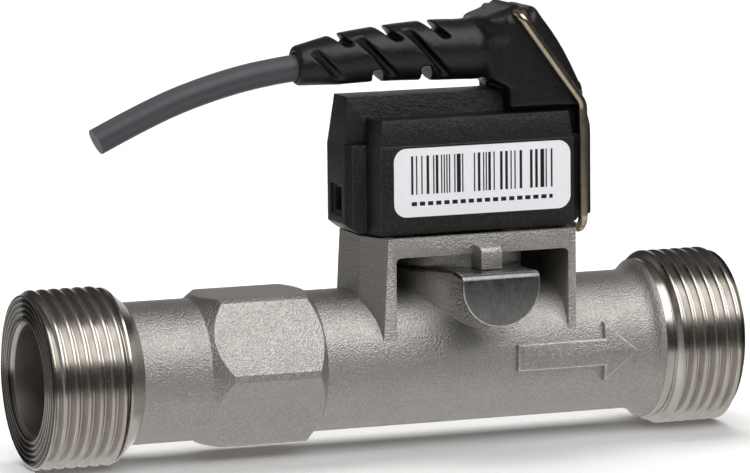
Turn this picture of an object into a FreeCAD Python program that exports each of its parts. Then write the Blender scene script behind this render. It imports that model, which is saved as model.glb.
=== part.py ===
"""Water flow sensor: a cast pipe section with a plug-on sensor head.

The pipe runs along +X, with the flow. The origin is the centre of the inlet's end face,
+Z points to the sensor head and -Y to the side that carries the label and the arrow.
Lengths are in millimetres.
"""
import FreeCAD, Part
import math
import os
import re
import Sketcher

# Driving dimensions. Those of the head are measured from the seat: the point on the
# sensor's axis at the underside of the housing.
SIZES = {
    # pipe
    "overall_length": 110.0,
    "thread_radius": 13.22,
    "thread_chamfer": 0.64,
    "inlet_thread": 11.9,
    "inlet_cone": 3.0,
    "outlet_thread": 11.2,
    "collar_radius": 12.05,
    "collar_length": 1.5,
    "outlet_cone": 1.9,
    "tube_radius": 10.55,
    "mouth_radius": 8.84,
    "entry_radius": 8.3,
    "entry_length": 20.0,
    "bore_taper": 5.0,
    "flow_radius": 7.0,
    # spanner hexagon
    "hex_ratio": 0.23091,
    "hex_root": 1.7,
    "hex_length": 18.0,
    "hex_flats": 22.0,
    "hex_turned": 0.3,
    # flow arrow
    "arrow_gap": 2.4,
    "arrow_shaft": 14.1,
    "arrow_head": 5.4,
    "shaft_half": 1.75,
    "head_half": 4.3,
    "arrow_rise": 0.35,
    # tower
    "axis_ratio": 0.62091,
    "tower_half_length": 15.0,
    "tower_half_width": 9.9,
    "tower_nose": 17.3,
    "tower_nose_half": 4.5,
    "tower_spread": 1.1,
    "tower_top": 18.9,
    "tower_end_wall": 1.2,
    "tower_wall": 1.2,
    "tower_well": 13.8,
    "beam_height": 2.87,
    "window_corner": 0.8,
    "turret_radius": 9.45,
    "nose_half": 1.65,
    "nose_top": 1.4,
    "nose_reach": 3.5,
    "nose_round": 1.1,
    # sensor stem
    "port_radius": 6.0,
    "stem_play": 0.05,
    "stem_foot": 6.8,
    "flange_radius": 8.0,
    "flange_height": 1.4,
    "spigot_radius": 5.4,
    "stem_bore": 2.2,
    "seal_section": 0.7,
    "seal_groove": 1.4,
    "seal_height": 9.6,
    "blade_length": 5.2,
    "blade_width": 1.8,
    "blade_drop": 4.8,
    "shank_length": 2.2,
    "chip_size": 1.8,
    "chip_thickness": 0.4,
    "lead_radius": 0.2,
    "lead_pitch": 0.9,
    "bluff_reach": 18.3,
    "bluff_width": 4.0,
    "bluff_tail": 1.6,
    "bluff_length": 4.5,
    # retaining clip
    "clip_height": 13.15,
    "clip_sheet": 0.8,
    "clip_play": 0.05,
    "clip_bend": 1.1,
    "clip_reach": 17.2,
    "clip_half": 9.7,
    "clip_waist": 5.3,
    "clip_throat": 4.85,
    "tab_half": 6.15,
    "tab_drop": 8.0,
    # lower housing
    "seat_gap": 0.3,
    "split": 13.25,
    "bar_left": 19.55,
    "bar_overhang": 2.9,
    "bar_half": 4.5,
    "bar_corner": 1.0,
    "heel_length": 2.0,
    "heel_height": 1.4,
    "toe_chamfer": 0.6,
    "block_half_length": 16.4,
    "block_half_width": 8.1,
    "block_slant": 0.9,
    "block_slant_width": 2.75,
    "window_half": 2.35,
    "window_low": 2.5,
    "window_high": 7.2,
    "window_rim": 0.55,
    "window_depth": 3.0,
    "room_wall": 1.4,
    "room_half_width": 6.6,
    "room_floor": 2.2,
    "ledge": 1.0,
    "board_level": 6.8,
    "board_sheet": 1.2,
    "board_play": 0.2,
    "board_grid": 1.0,
    # cover
    "cover_step": 0.2,
    "shoulder_height": 3.85,
    "shoulder_draft": 0.6,
    "cover_ceiling": 2.0,
    "ridge_height": 7.05,
    "ridge_half": 3.45,
    "ridge_slope": 1.0,
    "ridge_taper": 0.55,
    "lip_height": 2.0,
    "lip_wall": 0.9,
    "lip_play": 0.15,
    # socket
    "socket_axis": 11.1,
    "socket_half_length": 4.6,
    "socket_half_width": 4.7,
    "socket_top": 22.8,
    "socket_wall": 1.0,
    "pin_radius": 0.3,
    "pin_play": 0.05,
    "pin_pitch": 1.6,
    "pin_tail": 0.8,
    "pin_top": 21.6,
    "header_height": 2.5,
    # plug
    "plug_half_width": 6.4,
    "plug_bottom": 17.8,
    "plug_play": 0.2,
    "plug_back": 1.0,
    "neck_half": 4.6,
    "neck_end": 5.2,
    "crown_fall": 2.1,
    "plug_throat": 20.5,
    "cheek_left": 6.05,
    "crown_height": 33.2,
    "crown_start": 6.9,
    "crown_end": 10.3,
    "plug_edge": 1.9,
    "head_edge": 2.8,
    "notch_place": 8.6,
    "notch_half": 1.0,
    "notch_depth": 0.6,
    "skirt_gap": 0.3,
    "skirt_sheet": 1.05,
    "skirt_half": 6.0,
    "skirt_bottom": 1.1,
    "plug_ceiling": 23.8,
    "insert_gap": 0.15,
    "insert_bottom": 19.2,
    "contact_wall": 0.3,
    "conductor_radius": 0.3,
    "conductor_gap": 0.15,
    "conductor_drop": 1.6,
    "channel_bend": 3.5,
    "channel_radius": 1.7,
    # boot
    "boot_tip_x": 25.9,
    "boot_tip_height": 25.05,
    "boot_tilt": 2.5,
    "boot_length": 29.0,
    "boot_tip_radius": 3.0,
    "boot_flare": 6.7,
    "boot_flare_radius": 3.84,
    "boot_swell": 22.0,
    "boot_root_radius": 4.55,
    "boot_edge": 0.3,
    "slot_width": 1.5,
    "slot_core": 2.3,
    "slot_pitch": 8.0,
    "slot_first": 3.9,
    "slot_slant": 7.7,
    "notch_width": 1.6,
    "notch_core": 2.0,
    "notch_pitch": 7.6,
    "notch_first": 7.2,
    "under_first": 11.1,
    "under_lean": 0.9,
    "cable_grip": 5.0,
    # bail wire
    "wire_radius": 0.7,
    "pivot_x": 7.35,
    "pivot_height": 31.77,
    "pivot_play": 0.05,
    "pivot_depth": 2.5,
    "side_gap": 0.15,
    "knee_inset": 0.55,
    "knee_height": 18.09,
    "foot_gap": 0.2,
    "eye_bend": 1.2,
    "knee_bend": 3.0,
    "foot_bend": 2.2,
    # label
    "label_left": 13.4,
    "label_width": 28.3,
    "label_low": 2.6,
    "label_height": 10.25,
    "label_corner": 2.0,
    "label_sheet": 0.12,
    # cable
    "cable_radius": 2.0,
}

# Places that follow from the driving dimensions
FOLLOWING = {
    "sensor_axis": "axis_ratio * overall_length",
    "hex_start": "hex_ratio * overall_length",
    "bluff_position": "sensor_axis - bluff_reach",
    "arrow_end": "overall_length - outlet_thread - collar_length - outlet_cone - arrow_gap",
    "arrow_start": "arrow_end - arrow_head - arrow_shaft",
    "bar_right": "tower_half_length + bar_overhang",
    "skirt_inner": "bar_right + skirt_gap",
    "knee_x": "bar_right - knee_inset",
    "room_half_length": "block_half_length - room_wall",
    "plug_back_height": "crown_height - crown_fall",
    "brow_height": "plug_bottom + (crown_height - plug_bottom) / 5",
}

# The cable's route after the boot, from the seat: chosen along the photographed curve
CABLE_ROUTE = [
    (-30.1, 24.45),
    (-39.3, 22.45),
    (-48.3, 19.45),
    (-56.9, 15.35),
]

SEAT_X = "sensor_axis"
SEAT_Z = "tower_top + seat_gap"

doc = FreeCAD.newDocument("WaterFlowSensor")


def make_sheet():
    sheet = doc.addObject("Spreadsheet::Sheet", "Sizes")
    formulas = {name: "=" + formula for name, formula in FOLLOWING.items()}
    for row, (name, value) in enumerate((SIZES | formulas).items(), start=1):
        sheet.set(f"A{row}", name)
        sheet.set(f"B{row}", str(value))
        sheet.setAlias(f"B{row}", name)
    doc.recompute()
    return sheet


sheet = make_sheet()
parts = {}


def size(name):
    """The value of one driving dimension, read from the sheet."""
    return float(sheet.get(name))


def on_sheet(formula):
    """Turns bare size names in a formula into references to the sheet."""
    return re.sub(r"\b[a-z][a-z_]+\b(?!\()", lambda word: "Sizes." + word.group(0), str(formula))


def bind(item, **formulas):
    """Binds an object's properties; a double underscore stands for a dot."""
    for path, formula in formulas.items():
        item.setExpression(path.replace("__", "."), on_sheet(formula))
    return item


def keep(name, item):
    item.Label = name
    parts[name] = item
    return item


# Sketches and features of a body

def new_body(name):
    return doc.addObject("PartDesign::Body", name)


def origin_plane(body, role):
    for feature in body.Origin.OriginFeatures:
        if feature.Role == role:
            return feature
    raise ValueError(role)


def new_sketch(body, name, plane, lift, shift, rise):
    sketch = body.newObject("Sketcher::SketchObject", name)
    sketch.AttachmentSupport = [(origin_plane(body, plane), "")]
    sketch.MapMode = "FlatFace"
    return bind(sketch, AttachmentOffset__Base__x=shift, AttachmentOffset__Base__y=rise,
                AttachmentOffset__Base__z=lift)


def pin_point(sketch, curve, end, x, y):
    """Fixes one point of a sketch at a pair of formulas."""
    for kind, formula in (("DistanceX", x), ("DistanceY", y)):
        index = sketch.addConstraint(Sketcher.Constraint(kind, curve, end, 1.0))
        sketch.setExpression(f"Constraints[{index}]", on_sheet(formula))


def start_value(sketch, formula):
    value = sketch.evalExpression(on_sheet(formula))
    return float(getattr(value, "Value", value))


def add_loop(sketch, corners):
    """A closed chain of lines whose corners are pairs of formulas."""
    count = len(corners)
    places = []
    for x, y in corners:
        places.append(FreeCAD.Vector(start_value(sketch, x), start_value(sketch, y), 0))
    lines = [Part.LineSegment(places[i], places[(i + 1) % count]) for i in range(count)]
    first = sketch.addGeometry(lines, False)[0]
    for i, (x, y) in enumerate(corners):
        following = first + (i + 1) % count
        sketch.addConstraint(Sketcher.Constraint("Coincident", first + i, 2, following, 1))
    for i, (x, y) in enumerate(corners):
        pin_point(sketch, first + i, 1, x, y)


def add_circle(sketch, x, y, radius):
    centre = FreeCAD.Vector(start_value(sketch, x), start_value(sketch, y), 0)
    start = start_value(sketch, radius)
    index = sketch.addGeometry(Part.Circle(centre, FreeCAD.Vector(0, 0, 1), start), False)
    pin_point(sketch, index, 3, x, y)
    rule = sketch.addConstraint(Sketcher.Constraint("Radius", index, start))
    sketch.setExpression(f"Constraints[{rule}]", on_sheet(radius))


def outline(body, name, plane, *loops, lift="0", shift="0", rise="0"):
    sketch = new_sketch(body, name, plane, lift, shift, rise)
    for corners in loops:
        add_loop(sketch, corners)
    return sketch


def disc(body, name, plane, x, y, radius, lift="0", shift="0", rise="0"):
    sketch = new_sketch(body, name, plane, lift, shift, rise)
    add_circle(sketch, x, y, radius)
    return sketch


def rectangle(left, low, right, high):
    return [(left, low), (right, low), (right, high), (left, high)]


def pad(body, sketch, length, midplane=False, reverse=False):
    feature = body.newObject("PartDesign::Pad", sketch.Name + "Pad")
    feature.Profile = sketch
    feature.Midplane = midplane
    feature.Reversed = reverse
    return bind(feature, Length=length)


def pocket(body, sketch, depth, midplane=False, reverse=False):
    feature = body.newObject("PartDesign::Pocket", sketch.Name + "Pocket")
    feature.Profile = sketch
    feature.Midplane = midplane
    feature.Reversed = reverse
    return bind(feature, Length=depth)


def turned(body, sketch, axis, kind="Revolution"):
    """A full turn of a sketch about one of its own axes."""
    feature = body.newObject("PartDesign::" + kind, sketch.Name + kind)
    feature.Profile = sketch
    feature.ReferenceAxis = (sketch, [axis])
    feature.Angle = 360.0
    return feature


def loft(body, low, high):
    feature = body.newObject("PartDesign::AdditiveLoft", low.Name + "Loft")
    feature.Profile = low
    feature.Sections = [high]
    feature.Ruled = True
    return feature


def edge_names(feature, test):
    """Names of a feature's edges whose ends and middle all pass a test."""
    names = []
    for number, edge in enumerate(feature.Shape.Edges, start=1):
        middle = edge.valueAt((edge.FirstParameter + edge.LastParameter) / 2)
        points = [vertex.Point for vertex in edge.Vertexes] + [middle]
        if all(test(point) for point in points):
            names.append(f"Edge{number}")
    return names


def eased(body, base, name, amount, test, kind="Fillet"):
    """Rounds or chamfers those edges of the body's last feature that pass a test."""
    doc.recompute()
    feature = body.newObject("PartDesign::" + kind, name)
    feature.Base = (base, edge_names(base, test))
    return bind(feature, **{"Radius" if kind == "Fillet" else "Size": amount})


def near(value, target):
    return abs(value - target) < 0.02


# Primitives, booleans and wires

def place(item, x, y, z):
    return bind(item, Placement__Base__x=x, Placement__Base__y=y, Placement__Base__z=z)


def box(name, x, y, z, length, width, height):
    item = doc.addObject("Part::Box", name)
    bind(item, Length=length, Width=width, Height=height)
    return place(item, x, y, z)


def head_box(name, x, y, z, length, width, height):
    """A box placed from the seat."""
    return box(name, f"{SEAT_X} + {x}", y, f"{SEAT_Z} + {z}", length, width, height)


def head_cylinder(name, x, y, z, radius, height):
    """An upright cylinder placed from the seat."""
    item = doc.addObject("Part::Cylinder", name)
    bind(item, Radius=radius, Height=height)
    return place(item, f"{SEAT_X} + {x}", y, f"{SEAT_Z} + {z}")


def group(name, items):
    compound = doc.addObject("Part::Compound", name)
    compound.Links = items
    return compound


def cut(name, base, tool):
    item = doc.addObject("Part::Cut", name)
    item.Base = base
    item.Tool = tool
    return item


def fuse(name, items):
    item = doc.addObject("Part::MultiFuse", name)
    item.Shapes = items
    return item


def common(name, first, second):
    item = doc.addObject("Part::Common", name)
    item.Base = first
    item.Tool = second
    return item


def solid(name, shape):
    item = doc.addObject("Part::Feature", name)
    item.Shape = shape
    return item


def wire_path(points, radii):
    """Straight runs joined by tangent arcs, one radius for each inner point."""
    edges = []
    start = points[0]
    for i, radius in enumerate(radii, start=1):
        before = (points[i - 1] - points[i]).normalize()
        after = (points[i + 1] - points[i]).normalize()
        half = before.getAngle(after) / 2
        reach = radius / math.tan(half)
        first = points[i] + before * reach
        last = points[i] + after * reach
        inward = (before + after).normalize()
        middle = points[i] + inward * (radius / math.sin(half) - radius)
        edges.append(Part.LineSegment(start, first).toShape())
        edges.append(Part.Arc(first, middle, last).toShape())
        start = last
    edges.append(Part.LineSegment(start, points[-1]).toShape())
    return Part.Wire(edges)


def swept_round(path, radius, mitred=False):
    """A round bar along a path, with mitres where the path has corners."""
    first = path.Edges[0]
    start = first.valueAt(first.FirstParameter)
    heading = first.tangentAt(first.FirstParameter)
    section = Part.Wire(Part.Circle(start, heading, radius).toShape())
    return path.makePipeShell([section], True, False, int(mitred))


def seat_point(x, y, z):
    return FreeCAD.Vector(size("sensor_axis") + x, y, size("tower_top") + size("seat_gap") + z)


# Pipe section

def outside_profile():
    """Outside of the pipe from inlet to outlet, closed along the axis."""
    corner = "hex_flats / sqrt(3) - hex_turned"
    climb = f"({corner} - tube_radius)"
    hex_end = "hex_start + hex_length"
    outlet = "overall_length - outlet_thread"
    return [
        ("0", "0"),
        ("0", "thread_radius - thread_chamfer"),
        ("thread_chamfer", "thread_radius"),
        ("inlet_thread", "thread_radius"),
        ("inlet_thread + inlet_cone", "tube_radius"),
        ("hex_start", "tube_radius"),
        (f"hex_start + hex_root + {climb} - hex_root / 2", corner),
        (f"{hex_end} - {climb}", corner),
        (hex_end, "tube_radius"),
        (f"{outlet} - collar_length - outlet_cone", "tube_radius"),
        (f"{outlet} - collar_length", "collar_radius"),
        (outlet, "collar_radius"),
        (outlet, "thread_radius - thread_chamfer"),
        (f"{outlet} + thread_chamfer", "thread_radius"),
        ("overall_length - thread_chamfer", "thread_radius"),
        ("overall_length", "thread_radius - thread_chamfer"),
        ("overall_length", "0"),
    ]


def bore_profile():
    """The flow passage: wide mouths that narrow to the measuring bore."""
    step = "(mouth_radius - entry_radius)"
    return [
        ("0", "0"),
        ("0", "mouth_radius"),
        (step, "entry_radius"),
        ("entry_length", "entry_radius"),
        ("entry_length + bore_taper", "flow_radius"),
        ("overall_length - entry_length - bore_taper", "flow_radius"),
        ("overall_length - entry_length", "entry_radius"),
        (f"overall_length - {step}", "entry_radius"),
        ("overall_length", "mouth_radius"),
        ("overall_length", "0"),
    ]


def hexagon():
    """Corners of the spanner hexagon, with flats on top and underneath."""
    corner = "hex_flats / sqrt(3)"
    half = "hex_flats / 2 / sqrt(3)"
    flat = "hex_flats / 2"
    return [
        (corner, "0"), (half, flat), (f"-({half})", flat),
        (f"-({corner})", "0"), (f"-({half})", f"-({flat})"), (half, f"-({flat})"),
    ]


def arrow_corners():
    neck = "arrow_start + arrow_shaft"
    return [
        ("arrow_start", "-shaft_half"),
        (neck, "-shaft_half"),
        (neck, "-head_half"),
        (f"{neck} + arrow_head", "0"),
        (neck, "head_half"),
        (neck, "shaft_half"),
        ("arrow_start", "shaft_half"),
    ]


def make_tube():
    """The turned pipe with its hexagon and the arrow that shows the flow."""
    body = new_body("Tube")
    profile = outline(body, "TubeProfile", "XZ_Plane", outside_profile())
    turned(body, profile, "H_Axis")
    arrow = outline(body, "Arrow", "XZ_Plane", arrow_corners())
    pad(body, arrow, "tube_radius + 2 * arrow_rise")
    skin = outline(body, "ArrowSkin", "XZ_Plane", rectangle(
        "arrow_start - arrow_rise", "tube_radius + arrow_rise",
        "arrow_start + arrow_shaft + arrow_head + arrow_rise", "tube_radius + arrow_head"))
    turned(body, skin, "H_Axis", "Groove")
    waste = outline(body, "Hexagon", "YZ_Plane", hexagon(), lift="hex_start")
    add_circle(waste, "0", "0", "hex_flats")
    pocket(body, waste, "hex_length", reverse=True)
    return body


def tower_plan(spread):
    """Plan of the tower: flat front, back and right end, and an angled left end."""
    left = f"-(tower_half_length + {spread})"
    return [
        (left, "-tower_half_width"),
        ("tower_half_length", "-tower_half_width"),
        ("tower_half_length", "tower_half_width"),
        (left, "tower_half_width"),
        (f"-(tower_nose + {spread})", "tower_nose_half"),
        (f"-(tower_nose + {spread})", "-tower_nose_half"),
    ]


def make_tower():
    """The cast frame round the sensor, open at the front and on top."""
    body = new_body("Tower")
    foot = outline(body, "TowerFoot", "XY_Plane", tower_plan("tower_spread"), shift=SEAT_X)
    crown = outline(body, "TowerCrown", "XY_Plane", tower_plan("0"), lift="tower_top", shift=SEAT_X)
    loft(body, foot, crown)
    well = outline(body, "TowerWell", "XY_Plane", rectangle(
        "-tower_well", "tower_wall - tower_half_width",
        "tower_half_length - tower_end_wall", "tower_half_width - tower_wall"),
        lift="tower_top", shift=SEAT_X)
    pocket(body, well, "tower_top")
    window = outline(body, "TowerWindow", "XZ_Plane", rectangle(
        "-tower_well", "0", "tower_half_length - tower_end_wall", "tower_top - beam_height"),
        shift=SEAT_X)
    opened = pocket(body, window, "tower_half_width", reverse=True)
    lintel = size("tower_top") - size("beam_height")
    front = 1 - size("tower_half_width") + size("tower_wall")
    ends = (size("sensor_axis") - size("tower_well"),
            size("sensor_axis") + size("tower_half_length") - size("tower_end_wall"))

    def window_corner(point):
        return near(point.z, lintel) and point.y < front and any(near(point.x, x) for x in ends)

    eased(body, opened, "WindowCorners", "window_corner", window_corner)
    return body


def make_turret():
    """The boss that takes the stem, slotted from the front for the clip."""
    body = new_body("Turret")
    base = disc(body, "TurretPlan", "XY_Plane", "0", "0", "turret_radius", shift=SEAT_X)
    pad(body, base, "tower_top - beam_height + clip_sheet / 2")
    half = "clip_throat - 3 * clip_play"
    plan = [
        ("-turret_radius", "-turret_radius"), ("turret_radius", "-turret_radius"),
        ("turret_radius", "turret_radius - seal_groove"), (half, "turret_radius - seal_groove"),
        (half, "clip_play"), (f"-({half})", "clip_play"),
        (f"-({half})", "turret_radius - seal_groove"),
        ("-turret_radius", "turret_radius - seal_groove"),
    ]
    slot = outline(body, "ClipSlot", "XY_Plane", plan, lift="clip_height - clip_play", shift=SEAT_X)
    pocket(body, slot, "clip_sheet + 2 * clip_play", reverse=True)
    return body


def make_nose():
    """The cast hook in front of the beam, over the clip."""
    body = new_body("Nose")
    front = outline(body, "NoseFront", "XZ_Plane", rectangle(
        "-nose_half", "clip_height + clip_sheet + 2 * clip_play",
        "nose_half", "tower_top - nose_top"),
        lift="tower_half_width - tower_wall", shift=SEAT_X)
    block = pad(body, front, "nose_reach + tower_wall")
    face = -(size("tower_half_width") + size("nose_reach"))
    low = size("clip_height") + size("clip_sheet") + 2 * size("clip_play")
    eased(body, block, "NoseRound", "nose_round",
          lambda point: near(point.y, face) and point.z > low + 0.5 * size("nose_round"))
    return body


def make_pipe_body():
    cast = fuse("CastBody", [make_tube(), make_tower(), make_turret(), make_nose()])
    passage = new_body("Passage")
    bore = outline(passage, "BoreProfile", "XZ_Plane", bore_profile())
    turned(passage, bore, "H_Axis")
    port = disc(passage, "Port", "XY_Plane", "0", "0", "port_radius", shift=SEAT_X)
    pad(passage, port, "tower_top")
    keep("pipe_body", cut("PipeBody", cast, passage))


def make_bluff_body():
    """An upright wedge across the bore, blunt side upstream, with its ends on the bore's wall."""
    body = new_body("BluffWedge")
    plan = outline(body, "BluffPlan", "XY_Plane", [
        ("bluff_position", "-bluff_width / 2"),
        ("bluff_position + bluff_length", "-bluff_tail / 2"),
        ("bluff_position + bluff_length", "bluff_tail / 2"),
        ("bluff_position", "bluff_width / 2"),
    ])
    pad(body, plan, "4 * flow_radius", midplane=True)
    passage = new_body("BluffSpan")
    span = disc(passage, "BluffSpanPlan", "YZ_Plane", "0", "0", "flow_radius",
                lift="bluff_position - bluff_length")
    pad(passage, span, "3 * bluff_length")
    keep("bluff_body", common("BluffBody", body, passage))


# Sensor stem and what it carries

TURRET_TOP = "(tower_top - beam_height + clip_sheet / 2)"


def stem_profile():
    """Half section of the stem, from its foot in the bore to its spigot in the housing."""
    outer = "(port_radius - stem_play)"
    clip_low = "clip_height - 2 * clip_play"
    clip_high = "clip_height + clip_sheet + 2 * clip_play"
    groove = "(seal_groove - stem_play)"
    return [
        ("stem_bore", "stem_foot"),
        (outer, "stem_foot"),
        (outer, "seal_height - seal_section"),
        (f"{outer} - {groove}", "seal_height - seal_section"),
        (f"{outer} - {groove}", "seal_height + seal_section"),
        (outer, "seal_height + seal_section"),
        (outer, clip_low),
        ("clip_throat - clip_play", clip_low),
        ("clip_throat - clip_play", clip_high),
        (outer, clip_high),
        (outer, TURRET_TOP),
        ("flange_radius", TURRET_TOP),
        ("flange_radius", f"{TURRET_TOP} + flange_height"),
        ("spigot_radius + flange_height", f"{TURRET_TOP} + flange_height"),
        ("spigot_radius + flange_height", SEAT_Z),
        ("spigot_radius", SEAT_Z),
        ("spigot_radius", f"{SEAT_Z} + room_floor"),
        ("stem_bore", f"{SEAT_Z} + room_floor"),
    ]


def make_sensor_stem():
    body = new_body("SensorStem")
    profile = outline(body, "StemProfile", "XZ_Plane", stem_profile(), shift=SEAT_X)
    turned(body, profile, "V_Axis")
    keep("sensor_stem", body)


def make_stem_o_ring():
    """The seal as it sits, squeezed flat against its groove and the port."""
    body = new_body("StemSeal")
    inner = "port_radius - 2 * seal_section"
    low = "seal_height - seal_section"
    high = "seal_height + seal_section"
    round_off = "seal_section / 2"
    profile = outline(body, "SealProfile", "XZ_Plane", [
        (f"{inner} + {round_off}", low), (f"port_radius - {round_off}", low),
        ("port_radius", f"{low} + {round_off}"), ("port_radius", f"{high} - {round_off}"),
        (f"port_radius - {round_off}", high), (f"{inner} + {round_off}", high),
        (inner, f"{high} - {round_off}"), (inner, f"{low} + {round_off}"),
    ], shift=SEAT_X)
    turned(body, profile, "V_Axis")
    keep("stem_o_ring", body)


def make_sensing_tip():
    """A flat blade in the flow with a shank that fills the foot of the stem's bore."""
    blade = box("Blade", f"{SEAT_X} - blade_length / 2", "-blade_width / 2",
                "stem_foot - blade_drop", "blade_length", "blade_width", "blade_drop")
    shank = doc.addObject("Part::Cylinder", "Shank")
    bind(shank, Radius="stem_bore - stem_play", Height="shank_length")
    place(shank, SEAT_X, "0", "stem_foot")
    keep("sensing_tip", fuse("SensingTip", [blade, shank]))


def make_sensor_chip():
    chip = box("SensorChip", f"{SEAT_X} - chip_size / 2", "-(blade_width / 2 + chip_thickness)",
               "stem_foot - blade_drop + chip_size / 2", "chip_size", "chip_thickness", "chip_size")
    keep("sensor_chip", chip)


def make_sensor_leads():
    """Three leads from the shank up through the stem to the board."""
    leads = []
    for i in (-1, 0, 1):
        lead = doc.addObject("Part::Cylinder", f"Lead{i + 2}")
        start = "stem_foot + shank_length"
        bind(lead, Radius="lead_radius", Height=f"{SEAT_Z} + board_level - ({start})")
        leads.append(place(lead, f"{SEAT_X} + {i} * lead_pitch", "0", start))
    keep("sensor_leads", group("SensorLeads", leads))


# Retaining clip

def clip_plan():
    """The fork round the stem's groove and the tail that comes out at the front."""
    bevel = "clip_throat * (2 - sqrt(2))"
    back = "turret_radius - 3 * seal_groove + clip_sheet"
    right = [
        ("clip_half", back),
        ("clip_half", "-clip_sheet"),
        ("clip_half * sin(50)", "-clip_half * cos(50)"),
        ("clip_waist", "-(tower_half_width + clip_sheet)"),
        ("tab_half", "-(clip_reach - clip_bend)"),
        ("tab_half", "-clip_reach"),
    ]
    inner = [
        ("clip_throat", back),
        ("clip_throat", f"-clip_throat + {bevel}"),
        (f"clip_throat - {bevel}", "-clip_throat"),
    ]
    left = [(f"-({x})", y) for x, y in right]
    inner_left = [(f"-({x})", y) for x, y in inner]
    return right + left[::-1] + inner_left + inner[::-1]


def make_retaining_clip():
    body = new_body("RetainingClip")
    plan = outline(body, "ClipPlan", "XY_Plane", clip_plan(), lift="clip_height", shift=SEAT_X)
    pad(body, plan, "clip_sheet")
    drop = "clip_height + clip_sheet - tab_drop"
    tab = outline(body, "ClipTab", "XZ_Plane", rectangle(
        "-tab_half", drop, "tab_half", "clip_height + clip_sheet"),
        lift="clip_reach - clip_sheet", shift=SEAT_X)
    folded = pad(body, tab, "clip_sheet")
    low = size("clip_height") + size("clip_sheet") - size("tab_drop")
    axis = size("sensor_axis")
    tip = eased(body, folded, "TabRound", "tab_half - clip_play",
                lambda point: near(point.z, low) and near(abs(point.x - axis), size("tab_half")))
    bend = size("clip_height") + size("clip_sheet")
    eased(body, tip, "TabBend", "clip_bend",
          lambda point: near(point.z, bend) and near(point.y, -size("clip_reach")))
    keep("retaining_clip", body)


# Lower housing

def block_plan(inset):
    """Plan of the wide middle of the head, with slanted ends."""
    long_x = f"(block_half_length - {inset})"
    short_x = f"(block_half_length - block_slant - {inset})"
    wide_y = f"(block_half_width - {inset})"
    mid_y = f"(block_half_width - block_slant_width - {inset})"
    quarter = [(long_x, mid_y), (short_x, wide_y)]
    top = quarter + [(f"-{x}", y) for x, y in quarter[::-1]]
    return top + [(f"-{x}", f"-{y}") for x, y in quarter] + [(x, f"-{y}") for x, y in quarter[::-1]]


def bar_plan():
    """Plan of the long bar, with its left corners cut off."""
    return [
        ("-bar_left + bar_corner", "-bar_half"),
        ("bar_right", "-bar_half"),
        ("bar_right", "bar_half"),
        ("-bar_left + bar_corner", "bar_half"),
        ("-bar_left", "bar_half - bar_corner"),
        ("-bar_left", "bar_corner - bar_half"),
    ]


def cut_bar_ends(body):
    """Slopes under the left end and a small chamfer under the right end."""
    heel = outline(body, "Heel", "XZ_Plane", [
        ("-(bar_left + heel_length)", "-heel_height"),
        ("-bar_left + heel_length", "-heel_height"),
        ("-bar_left + heel_length", "0"),
        ("-bar_left", "heel_height"),
        ("-(bar_left + heel_length)", "heel_height"),
    ], shift=SEAT_X, rise=SEAT_Z)
    pocket(body, heel, "2 * bar_half + 1", midplane=True)
    toe = outline(body, "Toe", "XZ_Plane", [
        ("bar_right - toe_chamfer", "0"),
        ("bar_right - toe_chamfer", "-toe_chamfer"),
        ("bar_right + toe_chamfer", "-toe_chamfer"),
        ("bar_right + toe_chamfer", "toe_chamfer"),
        ("bar_right", "toe_chamfer"),
    ], shift=SEAT_X, rise=SEAT_Z)
    pocket(body, toe, "2 * bar_half + 1", midplane=True)


def cut_end_window(body):
    """The framed recess in the left end."""
    frame = outline(body, "EndFrame", "YZ_Plane", rectangle(
        "-window_half", "window_low", "window_half", "window_high"),
        lift=f"{SEAT_X} - bar_left", rise=SEAT_Z)
    pocket(body, frame, "window_rim", reverse=True)
    recess = outline(body, "EndRecess", "YZ_Plane", rectangle(
        "-(window_half - window_rim)", "window_low + window_rim",
        "window_half - window_rim", "window_high - window_rim"),
        lift=f"{SEAT_X} - bar_left", rise=SEAT_Z)
    pocket(body, recess, "window_depth", reverse=True)


def make_housing():
    body = new_body("Housing")
    bar = outline(body, "HousingBar", "XY_Plane", bar_plan(), lift=SEAT_Z, shift=SEAT_X)
    pad(body, bar, "split")
    block = outline(body, "HousingBlock", "XY_Plane", block_plan("0"), lift=SEAT_Z, shift=SEAT_X)
    pad(body, block, "split")
    cut_bar_ends(body)
    cut_end_window(body)
    room = outline(body, "BoardRoom", "XY_Plane", rectangle(
        "-room_half_length", "-room_half_width", "room_half_length", "room_half_width"),
        lift=f"{SEAT_Z} + board_level", shift=SEAT_X)
    pocket(body, room, "split - board_level", reverse=True)
    cellar = outline(body, "LowerRoom", "XY_Plane", rectangle(
        "ledge - room_half_length", "ledge - room_half_width",
        "room_half_length - ledge", "room_half_width - ledge"),
        lift=f"{SEAT_Z} + room_floor", shift=SEAT_X)
    pocket(body, cellar, "board_level - room_floor", reverse=True)
    hole = disc(body, "SpigotHole", "XY_Plane", "0", "0", "spigot_radius + stem_play",
                lift=SEAT_Z, shift=SEAT_X)
    pocket(body, hole, "room_floor", reverse=True)
    keep("housing", body)


# Cover with its ridge and socket

PIN_PLACES = [-1.5, -0.5, 0.5, 1.5]


def pin_row(name, radius, low, height):
    """One upright cylinder for each pin of the socket."""
    row = []
    for i, place_along in enumerate(PIN_PLACES, start=1):
        x = f"socket_axis + {place_along} * pin_pitch"
        row.append(head_cylinder(f"{name}{i}", x, "0", low, radius, height))
    return row


def make_cover_shell():
    """The drafted shoulder and the ridge, hollow underneath."""
    body = new_body("CoverShell")
    low = outline(body, "ShoulderLow", "XY_Plane", block_plan("cover_step / 2"),
                  lift=f"{SEAT_Z} + split", shift=SEAT_X)
    high = outline(body, "ShoulderHigh", "XY_Plane", block_plan("shoulder_draft"),
                   lift=f"{SEAT_Z} + split + shoulder_height", shift=SEAT_X)
    loft(body, low, high)
    return body


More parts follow.
